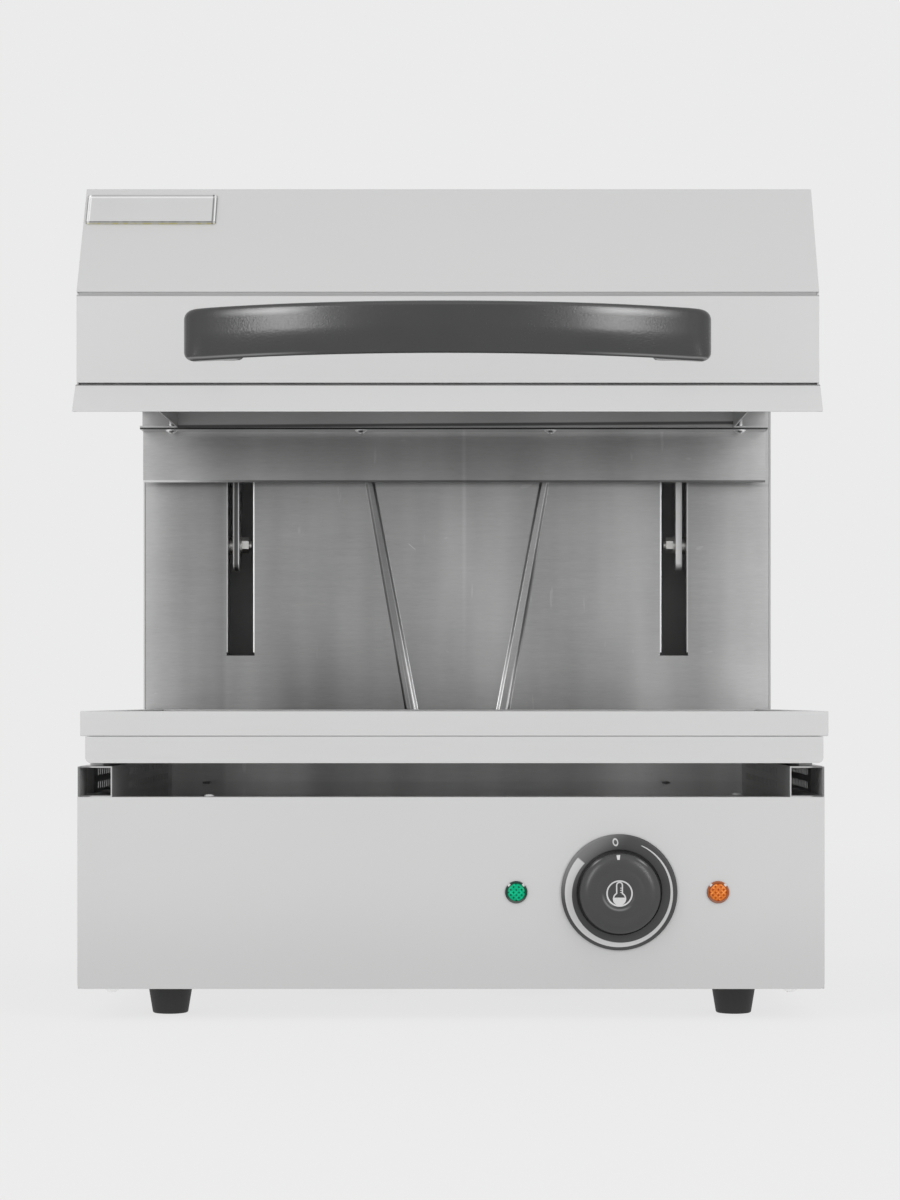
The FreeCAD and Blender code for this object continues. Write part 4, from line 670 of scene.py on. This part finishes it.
def makeHandle():
    half, face, tip, crest, height, corner = values(bow, "half face end reach height corner")
    outerArc = arcBetween(half, tip, crest, 80)
    ends = softened(np.vstack([[(-half, face)], outerArc[:1], outerArc[4:5]]), corner, 12)
    outer = np.vstack([ends[:-1], outerArc[4:-4], (ends[:-1] * (-1, 1))[::-1]])
    inner = arcBetween(half - bow["foot"], face, crest + bow["bar"], 80)
    outer, inner = [evenly(line, bow["stations"]) for line in (outer, inner)]
    turn, flat = np.linspace(0, np.pi / 2, 8), np.linspace(1, -1, 26)[1:-1]
    cos, sin, round1, flat1 = np.cos(turn), np.sin(turn), np.ones(8), np.ones(24)
    # per point: share of the half reach less the rounding, share of the rounding, and the same two upwards
    section = np.vstack([
        np.stack([round1, sin, round1, cos], 1),
        np.stack([flat1, flat1, flat, 0 * flat], 1),
        np.stack([round1, cos, -round1, -sin], 1),
        np.stack([flat, 0 * flat, -flat1, -flat1], 1),
    ])
    reachShare, reachRound, upShare, upRound = np.vstack([section, -section]).T[:, None]
    away = np.abs(outer[:, 0]) / half
    end = np.clip((away - 0.9) / 0.1, 0, 1)[:, None] ** 2
    rounding = np.where(upShare > 0, bow["rounding"], bow["lowRounding"])
    rounding = rounding + (bow["endRounding"] - rounding) * end
    centre, reach = (outer + inner) / 2, (outer - inner) / 2
    depth = np.linalg.norm(reach, axis=1)
    ahead = reach / depth[:, None]
    across = reachShare * (depth[:, None] - rounding) + reachRound * rounding
    up = upShare * (height / 2 - rounding) + upRound * rounding
    crown = bow["crown"] * (1 - (up * 2 / height) ** 2)
    lean = bow["lean"] * np.clip((-up - bow["leanFrom"]) / bow["leanOver"], 0, 1) ** 1.5
    rim = bow["rim"] * np.exp(-((up + bow["rimLevel"]) / bow["rimWidth"]) ** 2)
    front = (reachShare > 0.9) * np.clip((-ahead[:, None, 1] - 0.35) / 0.4, 0, 1)
    rim = rim * (0.3 + 0.7 * np.clip((away - 0.70) / 0.15, 0, 1))[:, None]
    across = across + front * (crown + rim - bow["crown"])
    x, y = np.moveaxis(centre[:, None] + across[..., None] * ahead[:, None], 2, 0)
    y = y + (reachShare > 0.9) * np.clip((0.156 - np.abs(x)) / 0.010, 0, 1) * lean
    # between the feet the underside rises to the rear
    radius = (half ** 2 + (tip - crest) ** 2) / (2 * (tip - crest))
    arcY = crest + radius - np.sqrt(radius ** 2 - np.clip(x, -half, half) ** 2)
    between = np.clip((bow["tuckEnd"] - np.abs(x)) / 0.0015, 0, 1)
    behind = np.clip(y - arcY - 0.002, 0, 0.026)
    up = up + bow["tuck"] * (between * 0.45 + 0.55) * behind * np.clip(-upShare, 0, 1)
    points = np.stack([x + bow["middle"], y + frontY, up + bow["level"]], 2)
    closing = points[[0, -1]] * 0 + points[[0, -1]].mean(1, keepdims=True)
    return np.vstack([closing[:1], points, closing[1:]]), gridFaces(len(points) + 2, points.shape[1])


handle = makePiece("bowHandle", [makeHandle()], "handle", 50)
handle.visible_glossy = False  # the photograph's steel shows no image or shadow of the handle
handle.visible_shadow = False
handle.visible_diffuse = False
print("handle swept")

# Dial: ring, knob and their printing
dial = {
    "x": 0.1013, "z": 0.0773, "ringOuter": 0.035, "ringInner": 0.0256, "ringThick": 0.0026,
    "knobRadius": 0.0242, "knobBack": 0.0036, "knobFront": 0.018, "taper": 0.0003, "crown": 0.0006,
    "shoulder": 0.0090, "drop": 0.0034, "dish": 0.0094, "dishDepth": 0.0008, "hollow": 0.0180, "skin": 0.0036,
    "bore": 0.003, "hub": 0.006, "hubEnd": 0.0063, "flange": 0.012, "flangeThick": 0.0005,
}
dialCentre = (dial["x"], frontY, dial["z"])


# Moulded plastic with a pale print over it
def printed(paint, shade, mask, patch, rough):
    return paint.finish({
        "Base Color": paint.mix(mask, shade, 0.54), "Roughness": (patch - 0.5) * 0.1 + rough,
        "Normal": paint.bump(paint.noise(2200), 0.00001, 0.5),
    })


# Ring print: a band between two radii that part as it turns, and an upright 0 at the top, on plastic with a
# painted highlight towards its upper left
def ringFinish():
    paint, x, depth, z = started("dialRingPrintPaintedLight", dialCentre)
    radius = (x * x + z * z) ** 0.5
    turn = x.math("ARCTAN2", z) * (180 / math.pi)
    turn = turn + turn.step(0.01, -0.01) * 360
    share = (turn - 25.4) / 284.6
    inside = 30.8 - share * share * share * 3.6
    outside = 31.3 + share * 5.0 - share * share * 3.8
    band = (radius - inside).step(-0.08, 0.08) * (outside - radius).step(-0.08, 0.08)
    band = band * share.step(-0.004, 0.004) * share.step(1.003, 0.997)
    across, up = (x + 2.4 + (z - 30.2) * 0.12) / 1.35, (z - 30.2) / 1.95
    zero = ((across * across + up * up) ** 0.5).near(1, 0.26, 0.04)
    front = (depth + dial["ringThick"] * 1000).step(0.5, 0.2)
    patch = paint.noise(40)
    shade = paint.mix(patch, (0.034, 0.034, 0.035), (0.050, 0.050, 0.051))
    # painted highlight towards the upper left
    shade = paint.mix((z - x).step(24, 50) * 0.75, shade, 0.20)
    return printed(paint, shade, band.most(zero) * front, patch, 0.38)


# Knob print: a thermometer in a circle and a notch at the top, with painted highlight glints on the shoulder
# and a painted crescent of light in the dish below the icon
def knobFinish():
    paint, x, depth, z = started("knobPrintPaintedLight", dialCentre)
    x, z = x + 0.6, z - 0.4
    radius = (x * x + z * z) ** 0.5
    circle = radius.near(7.45, 0.43, 0.09)
    rise = z + 3.2
    past = rise - rise.most(0).least(8.1)
    stem = (x * x + past * past) ** 0.5 - 1.7
    bulb = (x * x + rise * rise) ** 0.5 - 3.6
    outline = stem.least(bulb).near(0, 0.38, 0.10)
    filled = bulb.step(0.1, -0.1) * (z + 2.5).step(0.12, -0.12)
    ticks = 0
    for level in (0.6, 1.9, 3.2):
        ticks = z.near(level, 0.22, 0.08) * x.near(1.0, 0.575, 0.075) + ticks
    notch = z.near(21.5, 1.5, 0.1) * ((x + 0.6).size() - z * 0.16 + 2.50).step(0.1, -0.1)
    front = depth.step(-14.5, -15.0)
    mask = circle.most(outline).most(filled).most(ticks).most(notch).least(1) * front
    patch = paint.noise(40)
    shade = paint.mix(patch, (0.030, 0.030, 0.031), (0.046, 0.046, 0.047))
    # painted highlight glints on the shoulder and a painted crescent of light in the dish
    paintedGlints = radius.near(23.0, 0.35, 0.4) * (x.size() - z * 0.75).near(0, 3.0, 3.5) * z.step(0, 4) * 0.7
    paintedCrescent = radius.near(9.9, 0.5, 0.6) * (z + x * 0.4).step(-3.0, -9.5) * 0.4
    shade = paint.mix(paintedGlints + paintedCrescent * front, shade, 0.34)
    return printed(paint, shade, mask, patch, 0.30)


def ringProfile():
    outer, inner, thick, flange, low = values(dial, "ringOuter ringInner ringThick flange flangeThick")
    return softened([(flange, 0), (flange, low), (inner, low), (inner, thick), (outer - 0.0009, thick),
                     (outer, thick - 0.0011), (outer, 0), (flange, 0)], 0.0003, 4)


# Knob from its middle outwards: dish, crown, soft shoulder, then the rim, hollow and hub behind
def knobProfile():
    radius, back, front, dish, crown = values(dial, "knobRadius knobBack knobFront dish crown")
    shoulder, drop, hollow, hub, hubEnd, bore = values(dial, "shoulder drop hollow hub hubEnd bore")
    edge, inside = radius - dial["taper"], front - dial["skin"]
    share = np.linspace(0, 1, 20) ** 0.7
    dishPart = np.stack([dish * share, front - dial["dishDepth"] * 0.5 * (1 + np.cos(np.pi * share ** 4))], 1)
    share = np.linspace(0, 1, 8)[1:]
    crownPart = np.stack([dish + (edge - shoulder - dish) * share, front - crown * share ** 2], 1)
    share = np.linspace(0, 1, 16)[1:-1]
    front -= crown
    shoulderPart = np.stack([edge - shoulder * (1 - share), front - drop * share ** 3], 1)
    edgePart = softened([(edge, front - drop), (radius, back + 0.0004), (radius - 0.0006, back),
                         (hollow + 0.0006, back), (hollow, inside), (hub, inside), (hub, hubEnd),
                         (bore, hubEnd), (bore, inside), (0, inside)], 0.0006, 4)
    return np.vstack([dishPart, crownPart, shoulderPart, edgePart])


makePiece("dialRing", [turned(ringProfile(), dialCentre, (0, -1, 0), 128)], "dial_ring", 30, ringFinish())
makePiece("dialKnob", [turned(knobProfile(), dialCentre, (0, -1, 0), 128)], "knob", 35, knobFinish())
print("dial turned")

# Lamps: a tinted rim with a faceted dome in it
lamps = {
    "green": {"x": 0.0393, "light": (0.01, 0.52, 0.27), "middle": (0.0, 0.34, 0.165),
              "dark": (0.0, 0.08, 0.035), "rim": (0.010, 0.035, 0.026)},
    "orange": {"x": 0.1608, "light": (0.86, 0.33, 0.09), "middle": (0.58, 0.15, 0.025),
               "dark": (0.32, 0.050, 0.004), "rim": (0.30, 0.085, 0.025)},
}
lampShape = {"lens": 0.0053, "dome": 0.0010, "rim": 0.00675, "reach": 0.0016, "sink": 0.0005, "facet": 0.0023,
             "wave": 0.00016, "bore": 0.0042, "wall": 0.0050, "tail": 0.0140}


# Faceted dome: a shallow parabola plus the product of two slanting waves
def facetedDome(x):
    share = np.linspace(0, 1, 26) ** 0.8
    angle = np.linspace(0, 2 * np.pi, 96, endpoint=False)
    across = lampShape["lens"] * share[:, None] * np.cos(angle)
    up = lampShape["lens"] * share[:, None] * np.sin(angle)
    turn = np.pi / lampShape["facet"] / np.sqrt(2)
    wave = np.abs(np.sin(turn * (across + up)) * np.sin(turn * (across - up)))
    fade = 1 - share[:, None] ** 8
    height = lampShape["reach"] + lampShape["dome"] * (1 - share[:, None] ** 2)
    height = height + lampShape["wave"] * wave * fade
    points = np.stack([x + across, frontY - height, dial["z"] + up], 2)
    back = points[-1:] * (1, 0, 1) + (0, frontY - lampShape["sink"], 0)
    middle = np.repeat(back.mean(1, keepdims=True), 96, 1)
    return np.vstack([points, back, middle]), gridFaces(28, 96)


def lensFinish(name, lamp):
    paint, x, depth, z = started(name, (lamp["x"], frontY, dial["z"]))
    turn = math.sqrt(2) * math.pi / (lampShape["facet"] * 1000)
    first, second = ((x + z) * turn).math("COSINE"), ((x - z) * turn).math("COSINE")
    blotch = paint.swing(700)
    shade = paint.mix((first.most(second) + blotch * 4).step(0.75, 1.4) * 0.8, lamp["middle"], lamp["light"])
    shade = paint.mix((first.most(second) * -1 + blotch * 2.4).step(0.0, 0.6), shade, lamp["dark"])
    edge = ((x * x + z * z) ** 0.5 / (lampShape["lens"] * 1000)).step(0.86, 1)
    shade = paint.mix(edge * 0.6, shade, lamp["dark"])
    return paint.finish({"Base Color": shade, "Roughness": blotch * 0.1 + 0.3, "Specular IOR Level": 0.1})


# Rim: tinted, greyer towards its lower side, with a painted highlight glint on each shoulder
def rimFinish():
    paint = Paint("lampRims")
    green, orange = lamps["green"], lamps["orange"]
    x, depth, z = paint.axes(((orange["x"] + green["x"]) / 2, frontY, dial["z"]))
    along = x.size() - (orange["x"] - green["x"]) * 500
    radius = (along * along + z * z) ** 0.5
    # painted highlight glints on the shoulders
    paintedGlint = (along.size() - z).near(0, 1.2, 0.4) * z.step(0.5, 1) * radius.step(5.4, 5.7)
    low = z.step(-2, -5.5)
    shade = paint.mix(x.step(-1, 1), green["rim"], orange["rim"])
    shade = paint.mix(low * 0.3, shade, (0.24, 0.22, 0.21))
    shade = paint.mix(paintedGlint * 0.75, shade, 0.72)
    return paint.finish({"Base Color": shade, "Roughness": low * 0.1 + 0.3, "Specular IOR Level": 0.3})


lens, rim, reach, sink, bore, wall, tail = values(lampShape, "lens rim reach sink bore wall tail")
rimProfile = softened([(bore, -tail), (bore, sink), (lens, sink), (lens + 0.0001, reach - 0.0001),
                       (rim - 0.0006, reach), (rim, 0.0008), (rim, 0), (wall, 0), (wall, -tail),
                       (bore, -tail)], 0.0003, 4)
rims = []
for name, lamp in lamps.items():
    rims.append(turned(rimProfile, (lamp["x"], frontY, dial["z"]), (0, -1, 0), 72))
    finish = lensFinish(name + "LensPlastic", lamp)
    makePiece(name + "Lens", [facetedDome(lamp["x"])], name + "_lens", 25, finish)
makePiece("lampRims", rims, "lamp_bezels", 35, rimFinish())
print("lamps turned")


# Dome head less a cross with soft walls, over a plain shank
def crossHead(seat, axis, head, turn, length=0.007, shank=0.0019):
    seat, axis = np.asarray(seat), np.asarray(axis, float)
    side, other = squareTo(axis)
    radius, rise = head
    share = np.linspace(0, 1, 16)[:, None]
    angle = np.linspace(0, 2 * np.pi, 40, endpoint=False)[None]
    u, v = radius * share * np.cos(angle + turn), radius * share * np.sin(angle + turn)

    def bar(a, b):
        width = np.clip((radius * 0.17 - np.abs(a)) / (radius * 0.06), 0, 1)
        reach = np.clip((radius * 0.55 - np.abs(b)) / (radius * 0.15), 0, 1)
        return np.minimum(width, reach)

    recess = np.maximum(bar(u, v), bar(v, u)) * rise * 0.75
    height = rise * (1 - share ** 2.4) + 0.0001 - recess
    across, up = radius * share * np.cos(angle), radius * share * np.sin(angle)
    flat = across[..., None] * side + up[..., None] * other
    top = seat + flat + height[..., None] * axis
    edge = flat[-1] / radius
    stem = [(radius, 0), (shank, 0), (shank, -length + shank * 0.4), (shank * 0.6, -length), (0, -length)]
    points = np.concatenate([top, np.stack([seat + edge * r + axis * h for r, h in stem])])
    return points, gridFaces(len(points), angle.size)


# Screw places and heads (radius, rise)
screws = {
    "deckZ": 0.1345, "deck": ((-0.148, 0.024), (0.177, 0.057), (-0.177, 0.290), (0.148, 0.290)),
    "deckHead": (0.0030, 0.0009), "cornerX": 0.205, "cornerDepth": 0.008, "cornerZ": 0.019,
    "cornerHead": (0.005, 0.0026), "coverX": 0.2173, "coverDepth": 0.426, "coverHead": (0.0036, 0.0018),
    "coverZ": (0.049, 0.191, 0.333, 0.475), "skirtX": -0.00075, "skirtPitch": 0.134, "skirtDepth": 0.29365,
    "skirtZ": 0.384, "skirtHead": (0.0044, 0.0022), "skirtLength": 0.009,
}
cabinet = [crossHead((x, frontY + depth, screws["deckZ"]), (0, 0, 1), screws["deckHead"], x * 40)
           for x, depth in screws["deck"]]
for side in (-1, 1):
    seat = (side * screws["cornerX"], frontY + screws["cornerDepth"], screws["cornerZ"])
    cabinet.append(crossHead(seat, (0, 0, -1), screws["cornerHead"], side))
for side, z in ((side, z) for side in (-1, 1) for z in screws["coverZ"]):
    seat = (side * screws["coverX"], frontY + screws["coverDepth"], z)
    cabinet.append(crossHead(seat, (0, 1, 0), screws["coverHead"], z * 30))
skirt = []
for i in range(4):
    x = screws["skirtX"] + (i - 1.5) * screws["skirtPitch"]
    seat = (x, frontY + screws["skirtDepth"], screws["skirtZ"])
    skirt.append(crossHead(seat, (0, 0, -1), screws["skirtHead"], i, screws["skirtLength"]))


# Screws: pale metal, with painted shade in the skirt heads' recesses, and less metallic on the deck
def screwFinish():
    paint, x, depth, z = started("paleScrews")
    grain = paint.swing(700, 3)
    pitch = screws["skirtPitch"] * 1000
    offset = (x - screws["skirtX"] * 1000 + pitch * 2).math("MODULO", pitch) - pitch / 2
    # painted shade in the skirt heads' recesses
    recess = offset.near(0, 1.5, 0.6) * z.near(screws["skirtZ"] * 1000 - 1.1, 0.55, 0.3)
    deck = z.near(screws["deckZ"] * 1000, 3, 0.5)
    level = (grain * 0.05 + 1) * (1 - recess * 0.8) * 0.92
    return paint.finish({
        "Base Color": paint.mix(level, (0, 0, 0), (1, 1, 1)), "Metallic": 1 - deck * 0.8, "Roughness": 0.36,
        "Normal": paint.bump(grain, 0.00003, 0.3),
    })


paleScrews = screwFinish()
makePiece("cabinetScrews", cabinet, "cabinet_screws", 50, paleScrews)
makePiece("skirtScrews", skirt, "skirt_screws", 50, paleScrews)
print("screws turned:", len(cabinet) + len(skirt))

# Rubber feet: cones with a rolled lower edge, a collar and a screw recess
foot = {"x": 0.174, "depths": (0.045, 0.381), "top": 0.01385, "bottom": 0.0110, "height": 0.019,
        "recess": 0.0055, "recessDepth": 0.009, "hole": 0.0028}
hole, recess, depth, top, height = values(foot, "hole recess recessDepth top height")
footProfile = softened([(hole, depth), (recess, depth), (recess, 0), (foot["bottom"] - 0.0002, 0),
                        (top - 0.0004, height - 0.0030), (top, height - 0.0026), (top, height),
                        (hole, height), (hole, depth)], 0.0011, 5)
feet = [turned(footProfile, (side * foot["x"], frontY + setback, 0), (0, 0, 1), 56)
        for side in (-1, 1) for setback in foot["depths"]]
makePiece("rubberFeet", feet, "rubber_feet", 40)
print("feet turned")

# Blank plate on the slope: rings step in over a raised rim to a flat field
plate = {"width": 0.080, "height": 0.023, "thick": 0.0015, "field": 0.0009, "slopeSetback": 0.043,
         "slopeRise": 0.070, "slopeFoot": 0.440, "face": 0.008, "topGap": 0.0055, "left": -0.2252,
         "gap": 0.00005, "corner": 0.0012}


# A rectangle with rounded corners, drawn in by an inset
def plateRing(inset, height):
    w, h = plate["width"] / 2 - inset, plate["height"] / 2 - inset
    r = max(plate["corner"] - inset * 0.5, 0.0003)
    arc = r * np.exp(1j * np.linspace(0, np.pi / 2, 6))
    corner = complex(w - r, h - r)
    corners = corner, -corner.conjugate(), -corner, corner.conjugate()
    flat = np.concatenate([arc * 1j ** quarter + middle for quarter, middle in enumerate(corners)])
    return np.stack([flat.real, np.full(len(flat), height), flat.imag], 1)


def makePlate():
    thick, field = plate["thick"], plate["field"]
    steps = ((0, 0), (0, thick * 0.45), (0.0004, thick * 0.9), (0.00072, thick), (0.0012, thick),
             (0.0018, field), (0.0026, field))
    rings = [plateRing(inset, height) for inset, height in steps]
    rows = np.stack([rings[0] * 0] + rings + [rings[0] * 0 + (0, field, 0)])
    rows = rows * (1, -1, 1)  # the plate's face looks out of the slope
    length = math.hypot(plate["slopeSetback"], plate["slopeRise"])
    tilt = math.atan2(plate["slopeSetback"], plate["slopeRise"])
    upward = length - plate["topGap"] - plate["height"] / 2
    out = rows[..., 1] - plate["gap"]
    up = rows[..., 2] + upward
    y = frontY + plate["face"] + up * math.sin(tilt) + out * math.cos(tilt)
    z = plate["slopeFoot"] + up * math.cos(tilt) - out * math.sin(tilt)
    x = rows[..., 0] + plate["left"] + plate["width"] / 2
    return np.stack([x, y, z], 2), gridFaces(len(rows), rows.shape[1])


makePiece("namelessPlate", [makePlate()], "blank_plate", 22, plateFinish())
print("plate pressed")

# Rack wires: straight bars with rounded ends
rack = {"half": 0.2253, "shift": 0.002, "wall": 0.0012, "depth": 0.314, "top": 0.1863, "wire": 0.00175,
        "wires": 21, "cross": 0.0025, "crosses": 3}


def straightBar(start, end, radius, steps=14):
    start, end = np.asarray(start, float), np.asarray(end, float)
    share = np.linspace(0, 1, 6)[:, None]
    up = (0.0, 0.0, 1.0) if abs(end[2] - start[2]) < 1e-6 else (1.0, 0.0, 0.0)
    return sweptBar(start + (end - start) * share, radius, steps, up)


half, shift, wall, depth, top, wire, cross = values(rack, "half shift wall depth top wire cross")
wireZ = top - wall - wire
crossZ = wireZ - wire - cross
left, right, near, far = shift - half + wall, shift + half - wall, frontY + wall, frontY + depth - wall
bars = [straightBar((x, near, wireZ), (x, far, wireZ), wire)
        for x in np.linspace(left, right, rack["wires"] + 2)[1:-1]]
bars += [straightBar((left, y, crossZ), (right, y, crossZ), cross)
         for y in np.linspace(frontY, frontY + depth, rack["crosses"] + 2)[1:-1]]
makePiece("rackBars", bars, "rack_wires", 45)

# Heating elements: level hairpins with a thin pin and a ceramic sleeve on each end
heat = {"z": 0.432, "first": 0.050, "pitch": 0.086, "spacing": 0.036, "count": 3, "bend": -0.166,
        "end": 0.212, "radius": 0.004, "pin": 0.002, "pinLength": 0.005, "ceramic": 0.007, "start": 0.195,
        "ceramicLength": 0.010, "gap": 0.00415}
angle = np.linspace(-np.pi / 2, -3 * np.pi / 2, 28)
straight = np.linspace(heat["end"], heat["bend"], 12)[:-1]
gap, outer, length = values(heat, "gap ceramic ceramicLength")
sleeve = softened([(gap, 0), (outer, 0), (outer, length * 0.55), (outer - 0.0012, length), (gap, length),
                   (gap, 0)], 0.0006, 4)
hairpins, ceramics = [], []
for i in range(heat["count"]):
    near = frontY + heat["first"] + i * heat["pitch"]
    far, half = near + heat["spacing"], heat["spacing"] / 2
    bend = np.stack([heat["bend"] + half * np.cos(angle), near + half + half * np.sin(angle)], 1)
    flat = np.vstack([np.stack([straight, np.full(11, near)], 1), bend,
                      np.stack([straight[::-1], np.full(11, far)], 1)])
    hairpins.append(sweptBar(np.column_stack([flat, np.full(len(flat), heat["z"])]), heat["radius"], 18))
    for y in (near, far):
        pinEnds = [(heat["end"] + past, y, heat["z"]) for past in (-0.001, heat["pinLength"])]
        hairpins.append(straightBar(*pinEnds, heat["pin"], 12))
        ceramics.append(turned(sleeve, (heat["start"], y, heat["z"]), (1, 0, 0), 36))
makePiece("hairpinElements", hairpins, "heating_elements", 40)
makePiece("ceramicSleeves", ceramics, "terminal_insulators", 35)
print("bars and elements bent")

# Balance springs and the hood's lead stretch between the base and the hood
spring = {"x": 0.105, "y": frontY + 0.338, "low": 0.3766, "high": 0.4874, "radius": 0.0080, "wire": 0.0010,
          "turns": 30, "points": 720, "leadLow": 0.0407, "leadHigh": 0.3555, "lead": 0.005}
x, y, low, high, radius, wire, points = values(spring, "x y low high radius wire points")
turn = np.linspace(0, 2 * np.pi * spring["turns"], points)
rise = np.linspace(low + wire, high - wire, points)
coils = []
for side in (-1, 1):
    path = np.stack([side * x + radius * np.cos(turn), y + radius * np.sin(turn), rise], 1)
    coils.append(sweptBar(path, wire, 8))
springs = makePiece("liftSprings", coils, "balance_springs", 60, rides=False)
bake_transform(springs)
rise = np.linspace(spring["leadLow"], spring["leadHigh"], 24)
leadBar = sweptBar(np.stack([0 * rise, 0 * rise + y, rise], 1), spring["lead"], 20, (1.0, 0.0, 0.0))
lead = makePiece("hoodLead", [leadBar], "hood_lead", 60, rides=False)
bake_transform(lead)
print("springs wound")

# Nodes whose CAD shape is right keep it and take the finish of their slot
kept = [name for name in nodes if not nodes[name].hide_render]
for name in kept:
    for place in nodes[name].material_slots:
        place.material = finishes[slotOf[name]]
print("kept nodes:", ", ".join(sorted(kept)))

# Studio: a pale floor that fades into the backdrop's light, a white surround and soft boxes
studio = {
    "backdrop": 0.831, "floor": 0.80, "glow": 0.86, "floorRadius": 30.0, "fadeFrom": 0.5, "fadeTo": 2.0,
    "aim": (0.0, -0.24, 0.41),
    "boxes": (
        {"place": (-1.31, -1.75, 1.0), "size": (0.55, 1.3), "radiance": 4.0},
        {"place": (1.31, -1.75, 1.0), "size": (0.55, 1.3), "radiance": 4.0},
        {"place": (0.1, -1.3, 2.3), "size": (2.2, 1.2), "radiance": 0.4},
    ),
}


def floorFinish():
    paint, x, y, z = started("paleFloor", (0, 0, 0))
    far = ((x * x + y * y) ** 0.5 / 1000).step(studio["fadeFrom"], studio["fadeTo"])
    far = far * (1 - studio["glow"]) + studio["glow"]
    patch = paint.noise(1.5)
    ground = paint.add("BsdfPrincipled", None, {
        "Base Color": paint.mix(patch, studio["floor"] * 0.995, studio["floor"] * 1.005), "Roughness": 0.9})
    glow = paint.add("Emission", None, {"Color": tone(studio["backdrop"]), "Strength": 1.0})
    both = paint.add("MixShader", None, {0: far, 1: ground, 2: glow})
    paint.add("OutputMaterial", None, {"Surface": both})
    return paint.material


share = np.linspace(0, 1, 24) ** 2 * studio["floorRadius"]
floorProfile = np.stack([share, np.zeros(24)], 1)
floor = makePiece("studioFloor", [turned(floorProfile, (0, 0, -0.0002), (0, 0, 1))], None, 32, floorFinish())

world = bpy.data.worlds.new("studioSurround")
bpy.context.scene.world = world
world.use_nodes = True
surround = world.node_tree.nodes["Background"].inputs
surround[0].default_value = tone(studio["backdrop"])
surround[1].default_value = 1.0

for number, box in enumerate(studio["boxes"]):
    boxData = bpy.data.lights.new(f"softBox{number}", "AREA")
    boxData.shape = "RECTANGLE"
    boxData.size, boxData.size_y = box["size"]
    boxData.energy = box["radiance"] * 4 * box["size"][0] * box["size"][1]
    light = bpy.data.objects.new(f"softBox{number}", boxData)
    aim = np.array(studio["aim"]) - box["place"]
    aim /= np.linalg.norm(aim)
    light.location = box["place"]
    light.rotation_euler = (math.acos(-aim[2]), 0, math.atan2(-aim[0], aim[1]))
    bpy.context.scene.collection.objects.link(light)
print("studio lit")
